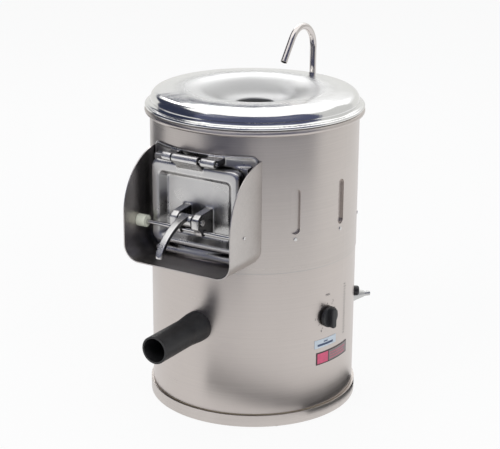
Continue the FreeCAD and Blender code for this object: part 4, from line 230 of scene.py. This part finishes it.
def coat(
    name, color, metallic, roughness, grain, relief,
    swing=0.08, patch=9.0, tint=0.12, round_axis=False, edge=0.0,
):
    """A finish with a fine grain in gloss and relief and a slow drift of its colour.

    grain is the fineness along each axis, relief its depth in metres, swing the change in gloss, patch the
    fineness of the drift and tint its depth. round_axis turns the grain into rings, and edge is the width
    of worn edges.
    """
    finish = bpy.data.materials.new(name)
    finish.use_nodes = True
    tree = finish.node_tree
    shader = tree.nodes["Principled BSDF"]
    shader.inputs["Metallic"].default_value = metallic
    place = joined(tree, "ShaderNodeTexCoord").outputs["Object"]
    if round_axis:
        away, high = off_axis(tree, place)
        turned = joined(tree, "ShaderNodeCombineXYZ")
        tree.links.new(away, turned.inputs[0])
        tree.links.new(high, turned.inputs[2])
        fine_place = turned.outputs[0]
    else:
        fine_place = place
    stretch = joined(tree, "ShaderNodeMapping")
    stretch.inputs["Scale"].default_value = grain
    tree.links.new(fine_place, stretch.inputs["Vector"])
    fine = joined(tree, "ShaderNodeTexNoise", Scale=1.0, Detail=6.0, Roughness=0.65)
    tree.links.new(stretch.outputs[0], fine.inputs["Vector"])
    slow = joined(tree, "ShaderNodeTexNoise", Scale=patch, Detail=4.0, Roughness=0.6)
    tree.links.new(place, slow.inputs["Vector"])
    both = joined(tree, "ShaderNodeMath", operation="ADD")
    tree.links.new(fine.outputs["Fac"], both.inputs[0])
    tree.links.new(slow.outputs["Fac"], both.inputs[1])
    gloss = remapped(tree, both.outputs[0], 0.7, 1.3, roughness - swing, roughness + swing)
    tree.links.new(gloss, shader.inputs["Roughness"])
    ramp = joined(tree, "ShaderNodeValToRGB")
    ramp.color_ramp.elements[0].position = 0.38
    ramp.color_ramp.elements[1].position = 0.64
    ramp.color_ramp.elements[0].color = (*(part * (1 - tint) for part in color), 1)
    ramp.color_ramp.elements[1].color = (*(min(1, part * (1 + tint * 0.5)) for part in color), 1)
    mixed = joined(tree, "ShaderNodeMath", operation="MULTIPLY_ADD")
    mixed.inputs[1].default_value = 0.45
    tree.links.new(fine.outputs["Fac"], mixed.inputs[0])
    spread = joined(tree, "ShaderNodeMath", operation="MULTIPLY")
    spread.inputs[1].default_value = 0.55
    tree.links.new(slow.outputs["Fac"], spread.inputs[0])
    tree.links.new(spread.outputs[0], mixed.inputs[2])
    tree.links.new(mixed.outputs[0], ramp.inputs[0])
    tree.links.new(ramp.outputs[0], shader.inputs["Base Color"])
    bump = joined(tree, "ShaderNodeBump", Strength=1.0, Distance=relief)
    tree.links.new(fine.outputs["Fac"], bump.inputs["Height"])
    if edge:
        worn = joined(tree, "ShaderNodeBevel", samples=4, Radius=edge)
        tree.links.new(worn.outputs[0], bump.inputs["Normal"])
    tree.links.new(bump.outputs[0], shader.inputs["Normal"])
    return finish


def dress(finish, *names):
    """Give carried-over pieces this finish."""
    for name in names:
        nodes[name].data.materials.clear()
        nodes[name].data.materials.append(finish)


ring_steel = coat("ring_steel", (0.60, 0.555, 0.525), 1, 0.34, (4, 4, 700), 0.000012, edge=0.0006)
foot_rubber = coat("foot_rubber", (0.035, 0.035, 0.036), 0, 0.62, (900, 900, 900), 0.00003, edge=0.0008)
zinc = coat("zinc", (0.52, 0.53, 0.56), 1, 0.42, (60, 60, 60), 0.00002, patch=30, tint=0.25, edge=0.0004)
seal_tan = coat(
    "seal_tan", (0.34, 0.29, 0.19), 0, 0.5, (300, 300, 300), 0.00003, swing=0.1, patch=30, tint=0.3
)
dress(ring_steel, "base_ring")
dress(seal_tan, "base_seal")
dress(foot_rubber, "rubber_feet", "shaft_seal", "door_gasket")
dress(zinc, "base_plate", "base_screws", "motor_bracket", "motor_bolts", "capacitor_clip")
dress(zinc, "bearing_bolts", "frame_screws")

# Lower housing: a stainless sheet rolled to a cylinder, with a fine horizontal brushing. It stands in the
# base ring and carries the tank, the timer, the drain and the water fittings.
shell_steel = coat(
    "shell_steel", (0.60, 0.55, 0.52), 1, 0.33, (3, 3, 520), 0.00001, swing=0.06, patch=5, tint=0.07
)
dress(shell_steel, "lower_housing")

# Printed scale round the timer knob: plain ticks and minutes in dark ink, and a column of faint ruled
# lines beside it, all wrapped on the housing.
shell_radius = 0.19
ink_radius = shell_radius + 0.00012
knob_turn = math.radians(76.5)
knob_height = 0.1953
scale_start = -150
tick_count, tick_step = 11, 30
tick_inner, tick_outer, tick_half = 0.0225, 0.0255, 0.0004
figure_count, figure_step = 6, 60
figure_size, figure_circle, unit_up = 0.0062, 0.0295, 0.041
rule_turn = math.radians(93)
rule_count, rule_gap, rule_width = 19, 0.0053, 0.0012
rule_bottom, rule_left, rule_short, rule_ragged = -0.049, -0.0045, 0.0015, 0.0035
ink = coat("ink", (0.03, 0.03, 0.035), 0, 0.5, (900, 900, 900), 0.000002, patch=60, tint=0.3)
faint_ink = coat("faint_ink", (0.20, 0.19, 0.185), 0.4, 0.5, (900, 900, 900), 0.000002, patch=60, tint=0.3)


def wrapped(name, turn, height, corners, faces, finish, radius):
    """A thin printed mark: flat points (across, up) in metres wrapped on the housing."""
    spots = []
    for across, up in corners:
        angle = turn + across / radius
        spots.append((radius * math.sin(angle), -radius * math.cos(angle), height + up))
    mesh = bpy.data.meshes.new(name)
    mesh.from_pydata(spots, [], faces)
    mesh.materials.append(finish)
    for face in mesh.polygons:
        face.use_smooth = True
    mark = bpy.data.objects.new(name, mesh)
    bpy.context.scene.collection.objects.link(mark)
    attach(mark, "machine")


def strip(low_across, high_across, low_up, high_up, steps=12):
    """Corners and faces of a rectangle cut into narrow strips, so that it can follow the housing."""
    corners, faces = [], []
    for i in range(steps + 1):
        across = low_across + (high_across - low_across) * i / steps
        corners += [(across, low_up), (across, high_up)]
    for i in range(steps):
        faces.append((2 * i, 2 * i + 2, 2 * i + 3, 2 * i + 1))
    return corners, faces


tick_corners, tick_faces = [], []
for i in range(tick_count):
    turn = math.radians(scale_start + tick_step * i)
    along = (math.sin(turn), math.cos(turn))
    aside = (along[1] * tick_half, -along[0] * tick_half)
    start = len(tick_corners)
    for reach, side in ((tick_inner, -1), (tick_inner, 1), (tick_outer, 1), (tick_outer, -1)):
        tick_corners.append((along[0] * reach + aside[0] * side, along[1] * reach + aside[1] * side))
    tick_faces.append((start, start + 1, start + 2, start + 3))
wrapped("scale_ticks", knob_turn, knob_height, tick_corners, tick_faces, ink, ink_radius)


def figure(name, words, across, up):
    """A printed numeral or word, centred on a place beside the knob."""
    curve = bpy.data.curves.new(name, "FONT")
    curve.body = words
    curve.size = figure_size
    curve.align_x = "CENTER"
    curve.align_y = "CENTER"
    holder = bpy.data.objects.new(name, curve)
    bpy.context.scene.collection.objects.link(holder)
    flat = bpy.data.meshes.new_from_object(holder)
    corners = [(spot.co.x + across, spot.co.y + up) for spot in flat.vertices]
    faces = [tuple(face.vertices) for face in flat.polygons]
    bpy.data.objects.remove(holder)
    wrapped(name, knob_turn, knob_height, corners, faces, ink, ink_radius)


for i in range(figure_count):
    turn = math.radians(scale_start + figure_step * i)
    figure(f"minute_{i}", str(i), math.sin(turn) * figure_circle, math.cos(turn) * figure_circle)
figure("scale_unit", "MIN", 0, unit_up)

rule_corners, rule_faces = [], []
for i in range(rule_count):
    low_up = rule_bottom + rule_gap * i
    right = rule_short + rule_ragged * ((i * 7) % 5) / 4
    corners, faces = strip(rule_left, right, low_up, low_up + rule_width, 4)
    start = len(rule_corners)
    rule_corners += corners
    rule_faces += [tuple(start + number for number in face) for face in faces]
wrapped("ruled_lines", rule_turn, knob_height, rule_corners, rule_faces, faint_ink, ink_radius)

# Plates: two printed films stuck on the housing. The upper one is pale with plain blue bars, and the lower
# one is dark with a pink and a grey field and thin lines.
name_turn = math.radians(75.8)
notice_turn = math.radians(82.6)
name_height = 0.1455
notice_height = 0.1165
field_half = 0.0098
line_pitch, line_width = 0.0052, 0.0014
plate_radius = shell_radius + 0.00062
line_radius = plate_radius + 0.00006
film = coat("film", (0.62, 0.70, 0.78), 0, 0.3, (300, 300, 300), 0.000004, swing=0.05, patch=40, tint=0.05)
dark_film = coat(
    "dark_film", (0.05, 0.03, 0.035), 0, 0.35, (300, 300, 300), 0.000004, swing=0.05, patch=40, tint=0.1
)
dress(film, "name_plate")
dress(dark_film, "notice_plate")
blue_ink = coat("blue_ink", (0.045, 0.075, 0.16), 0, 0.4, (400, 400, 400), 0.000002, patch=60, tint=0.3)
pink_ink = coat("pink_ink", (0.74, 0.11, 0.22), 0, 0.4, (400, 400, 400), 0.000002, patch=60, tint=0.15)
grey_ink = coat("grey_ink", (0.27, 0.22, 0.22), 0, 0.4, (400, 400, 400), 0.000002, patch=60, tint=0.2)
name_bar = strip(-0.021, 0.019, -0.0047, -0.0005)
name_dash = strip(-0.006, 0.004, 0.0015, 0.0038)
notice_pink = strip(-0.0435, -0.0165, -field_half, field_half)
notice_grey = strip(-0.0145, 0.0440, -field_half, field_half)
wrapped("name_bar", name_turn, name_height, *name_bar, blue_ink, plate_radius)
wrapped("name_dash", name_turn, name_height, *name_dash, blue_ink, plate_radius)
wrapped("notice_pink", notice_turn, notice_height, *notice_pink, pink_ink, plate_radius)
wrapped("notice_grey", notice_turn, notice_height, *notice_grey, grey_ink, plate_radius)
for i in range(3):
    low_up = -0.0068 + line_pitch * i
    line = strip(-0.011, 0.039 - 0.006 * (i % 2), low_up, low_up + line_width)
    wrapped(f"notice_line_{i}", notice_turn, notice_height, *line, pink_ink, line_radius)

# Timer: a moulded black knob on the steel shaft of a clockwork switch, which a nut holds behind the housing.
# The other bright steel pieces and plain plastic cases share its finishes.
knob_black = coat("knob_black", (0.018, 0.018, 0.02), 0, 0.36, (700, 700, 700), 0.00001, edge=0.0009)
steel_bright = coat("steel_bright", (0.66, 0.65, 0.64), 1, 0.2, (300, 300, 300), 0.000006, edge=0.0004)
switch_case = coat("switch_case", (0.55, 0.54, 0.50), 0, 0.5, (500, 500, 500), 0.00001, edge=0.0006)
dress(knob_black, "timer_knob", "cable_gland")
dress(steel_bright, "timer_shaft", "timer_nut", "hinge_pin", "latch_pin", "latch_bar")
dress(steel_bright, "wing_studs", "liner_rivets", "disc_nut")
dress(switch_case, "timer_body", "terminal_block", "run_capacitor")

# Drain: a spun steel pan with a welded pipe, and a moulded rubber spout pushed over the pipe.
pan_steel = coat("pan_steel", (0.55, 0.53, 0.51), 1, 0.4, (400, 1, 400), 0.00001, round_axis=True)
spout_rubber = coat(
    "spout_rubber", (0.020, 0.020, 0.021), 0, 0.48, (260, 260, 260), 0.00012, swing=0.14, patch=40, tint=0.45
)
dress(pan_steel, "drain_pan")
dress(spout_rubber, "drain_spout")

# Spindle and disc: a ground steel spindle in ball bearings, in a cast-iron housing bolted to the pan's floor.
# It carries a cast aluminium disc with a bonded coat of grit, the same grit as on the tank's liner.
cast_iron = coat("cast_iron", (0.20, 0.20, 0.21), 0.7, 0.6, (260, 260, 260), 0.00015, edge=0.0008)
cast_plate = coat("cast_plate", (0.52, 0.52, 0.51), 1, 0.45, (220, 220, 220), 0.00006, edge=0.0006)
grit = coat("grit", (0.13, 0.12, 0.11), 0, 0.8, (420, 420, 420), 0.0005, tint=0.5, patch=120)
dress(cast_iron, "bearing_housing", "motor_stator", "motor_rotor")
dress(cast_plate, "peeling_disc", "driven_pulley", "motor_pulley")
dress(grit, "disc_abrasive", "abrasive_liner")
dress(steel_bright, "spindle", "spindle_bearings", "motor_bearings")

# Drive: a flat rubber belt from the motor's small pulley to the large one on the spindle. The motor's shell
# and end shields are enamelled.
belt_rubber = coat("belt_rubber", (0.04, 0.04, 0.04), 0, 0.7, (500, 500, 900), 0.0001)
motor_paint = coat("motor_paint", (0.05, 0.065, 0.09), 0, 0.4, (240, 240, 240), 0.00006, edge=0.0008)
dress(belt_rubber, "drive_belt")
dress(motor_paint, "motor_body", "motor_shields")

# Water fittings: a turned hose tail and brass locknuts at the housing, a milky tube inside, a nickel-plated
# brass elbow, nut and clip, and a bent and polished steel pipe that turns in the elbow.
nickel = coat("nickel", (0.60, 0.58, 0.54), 1, 0.24, (200, 200, 200), 0.00001, edge=0.0005)
tail_metal = coat("tail_metal", (0.62, 0.62, 0.61), 1, 0.38, (300, 300, 300), 0.00002, edge=0.0004)
brass = coat("brass", (0.60, 0.45, 0.20), 1, 0.34, (300, 300, 300), 0.00002, edge=0.0005)
tube = coat("tube", (0.70, 0.72, 0.70), 0, 0.35, (200, 200, 200), 0.00001)
pipe_steel = coat("pipe_steel", (0.66, 0.62, 0.60), 1, 0.13, (500, 500, 20), 0.000004, swing=0.04, patch=14)
dress(nickel, "swivel_elbow", "swivel_nut", "pipe_clip")
dress(tail_metal, "hose_tail")
dress(brass, "locknuts")
dress(tube, "inlet_tube")
dress(pipe_steel, "spray_pipe")

# Peeling tank: the stainless upper shell, rolled from sheet with a rolled rim and pressed upright grooves,
# and brushed like the housing that it stands on.
tank_steel = coat(
    "tank_steel", (0.59, 0.545, 0.515), 1, 0.32, (3, 3, 520), 0.00001, swing=0.06, patch=6, tint=0.09
)
dress(tank_steel, "peeling_tank")

# Door, frame and lever: sand-cast aluminium with the soft edges of a casting, its colour darkened by painted
# shade on the side walls that face sideways and in the corners and recesses.
cast_bright = coat(
    "cast_bright", (0.71, 0.70, 0.69), 1, 0.30, (40, 40, 40), 0.00002, swing=0.06, patch=26, tint=0.08
)
casting = cast_bright.node_tree


def darkened(tree, tone):
    """Multiply the finish's own colour by a tone."""
    shader = tree.nodes["Principled BSDF"]
    product = joined(tree, "ShaderNodeMix", data_type="RGBA", blend_type="MULTIPLY")
    product.inputs["Factor"].default_value = 1.0
    tree.links.new(shader.inputs["Base Color"].links[0].from_socket, product.inputs[6])
    tree.links.new(tone, product.inputs[7])
    tree.links.new(product.outputs[2], shader.inputs["Base Color"])


# Painted shade: the colour drops to about a fifth where the surface faces sideways, as if those walls lay in
# shade.
facing = joined(casting, "ShaderNodeSeparateXYZ")
casting.links.new(joined(casting, "ShaderNodeTexCoord").outputs["Normal"], facing.inputs[0])
sideways = joined(casting, "ShaderNodeMath", operation="ABSOLUTE")
casting.links.new(facing.outputs[0], sideways.inputs[0])
painted_side_shade = remapped(casting, sideways.outputs[0], 0.55, 0.9, 1.0, 0.22)
# Painted shade in corners and recesses: ambient occlusion darkens the colour where the casting is hemmed in.
painted_corner_shade_ao = joined(casting, "ShaderNodeAmbientOcclusion", samples=6, Distance=0.045)
painted_corner_shade = remapped(casting, painted_corner_shade_ao.outputs["AO"], 0.25, 0.85, 0.35, 1.0)
# Both painted shades are multiplied into the casting's own colour.
painted_cast_shade = joined(casting, "ShaderNodeMath", operation="MULTIPLY")
casting.links.new(painted_side_shade, painted_cast_shade.inputs[0])
casting.links.new(painted_corner_shade, painted_cast_shade.inputs[1])
darkened(casting, painted_cast_shade.outputs[0])


def cast_skin_of(name, body, voxel, passes):
    """A casting's skin: the piece's own shape with its sharp edges worn round by passes of smoothing."""
    source = nodes[name]
    mesh = source.data.copy()
    mesh.name = name + "_skin"
    mesh.materials.clear()
    mesh.materials.append(cast_bright)
    skin_piece = bpy.data.objects.new(name + "_skin", mesh)
    skin_piece.matrix_world = source.matrix_world.copy()
    bpy.context.scene.collection.objects.link(skin_piece)
    cells = skin_piece.modifiers.new("cells", "REMESH")
    cells.mode = "VOXEL"
    cells.voxel_size = voxel
    cells.use_smooth_shade = True
    worn = skin_piece.modifiers.new("worn", "SMOOTH")
    worn.factor = 0.5
    worn.iterations = passes
    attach(skin_piece, body)
    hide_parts(name)


cast_skin_of("door", "door", 0.0011, 22)
cast_skin_of("door_frame", "machine", 0.0012, 22)
cast_skin_of("latch_lever", "lever", 0.0009, 12)

# Rollers: two turned rollers of white nylon with a faint yellow tinge, one on each end of the latch bar. They
# guide the door between the chute's wings.
nylon = coat("nylon", (0.76, 0.78, 0.66), 0, 0.4, (300, 300, 300), 0.00001, patch=30, tint=0.1, edge=0.0015)
dress(nylon, "nylon_rollers")

# Chute: one bent stainless sheet, a floor and two wings with round upper edges, satin all over and welded to
# the tank.
chute_steel = coat(
    "chute_steel", (0.58, 0.55, 0.53), 1, 0.35, (3, 260, 260), 0.00001,
    swing=0.07, patch=10, tint=0.12, edge=0.0008,
)
dress(chute_steel, "discharge_chute")

# Lid: one spun aluminium ring. Inside the crest it is dull and greyed by painted shade that fades out towards
# the crest, outside it is polished bright, and the whole skin is a little uneven, so that reflections waver.
lid_bright = coat(
    "lid_bright", (0.80, 0.80, 0.79), 1, 0.14, (700, 1, 700), 0.000004,
    swing=0.03, patch=7, tint=0.05, round_axis=True,
)
bowl_shade_greys = ((0.40, 0.46), (0.50, 0.45), (0.62, 0.62), (0.80, 1.0))
bowl_shade_per_metre = 5.0
swell_depth = 0.0009
spun = lid_bright.node_tree
spun_shader = spun.nodes["Principled BSDF"]
lid_place = joined(spun, "ShaderNodeTexCoord").outputs["Object"]
lid_away, _ = off_axis(spun, lid_place)

# Its distance from the axis, made a little uneven, says where the dull middle and its painted shade end.
drift = joined(spun, "ShaderNodeTexNoise", Scale=9.0, Detail=2.0)
spun.links.new(lid_place, drift.inputs["Vector"])
edge_drift = joined(spun, "ShaderNodeMath", operation="MULTIPLY_ADD")
edge_drift.inputs[1].default_value = 0.02
spun.links.new(drift.outputs["Fac"], edge_drift.inputs[0])
spun.links.new(lid_away, edge_drift.inputs[2])
dull = remapped(spun, edge_drift.outputs[0], 0.108, 0.158, 0.32, 0.0)
duller = joined(spun, "ShaderNodeMath", operation="ADD")
spun.links.new(spun_shader.inputs["Roughness"].links[0].from_socket, duller.inputs[0])
spun.links.new(dull, duller.inputs[1])
spun.links.new(duller.outputs[0], spun_shader.inputs["Roughness"])
# Painted shade: the colour is about half as bright inside the bowl and rises to full brightness beyond the
# crest.
painted_bowl_shade = joined(spun, "ShaderNodeValToRGB")
painted_bowl_shade.color_ramp.elements[0].position = 0.0
painted_bowl_shade.color_ramp.elements[0].color = (0.42, 0.42, 0.43, 1)
painted_bowl_shade.color_ramp.elements[1].position = 1.0
painted_bowl_shade.color_ramp.elements[1].color = (1, 1, 1, 1)
for spot, grey in bowl_shade_greys:
    painted_bowl_shade.color_ramp.elements.new(spot).color = (grey, grey, grey * 1.01, 1)
outward = joined(spun, "ShaderNodeMath", operation="MULTIPLY")
outward.inputs[1].default_value = bowl_shade_per_metre
spun.links.new(edge_drift.outputs[0], outward.inputs[0])
spun.links.new(outward.outputs[0], painted_bowl_shade.inputs[0])
darkened(spun, painted_bowl_shade.outputs[0])

# The spinning leaves slow swells under the fine rings.
waver = joined(spun, "ShaderNodeTexNoise", Scale=16.0, Detail=3.0, Roughness=0.5)
spun.links.new(lid_place, waver.inputs["Vector"])
fine_rings = spun_shader.inputs["Normal"].links[0].from_node
swell = joined(spun, "ShaderNodeBump", Strength=1.0, Distance=swell_depth)
spun.links.new(waver.outputs["Fac"], swell.inputs["Height"])
spun.links.new(swell.outputs[0], fine_rings.inputs["Normal"])
dress(lid_bright, "lid")
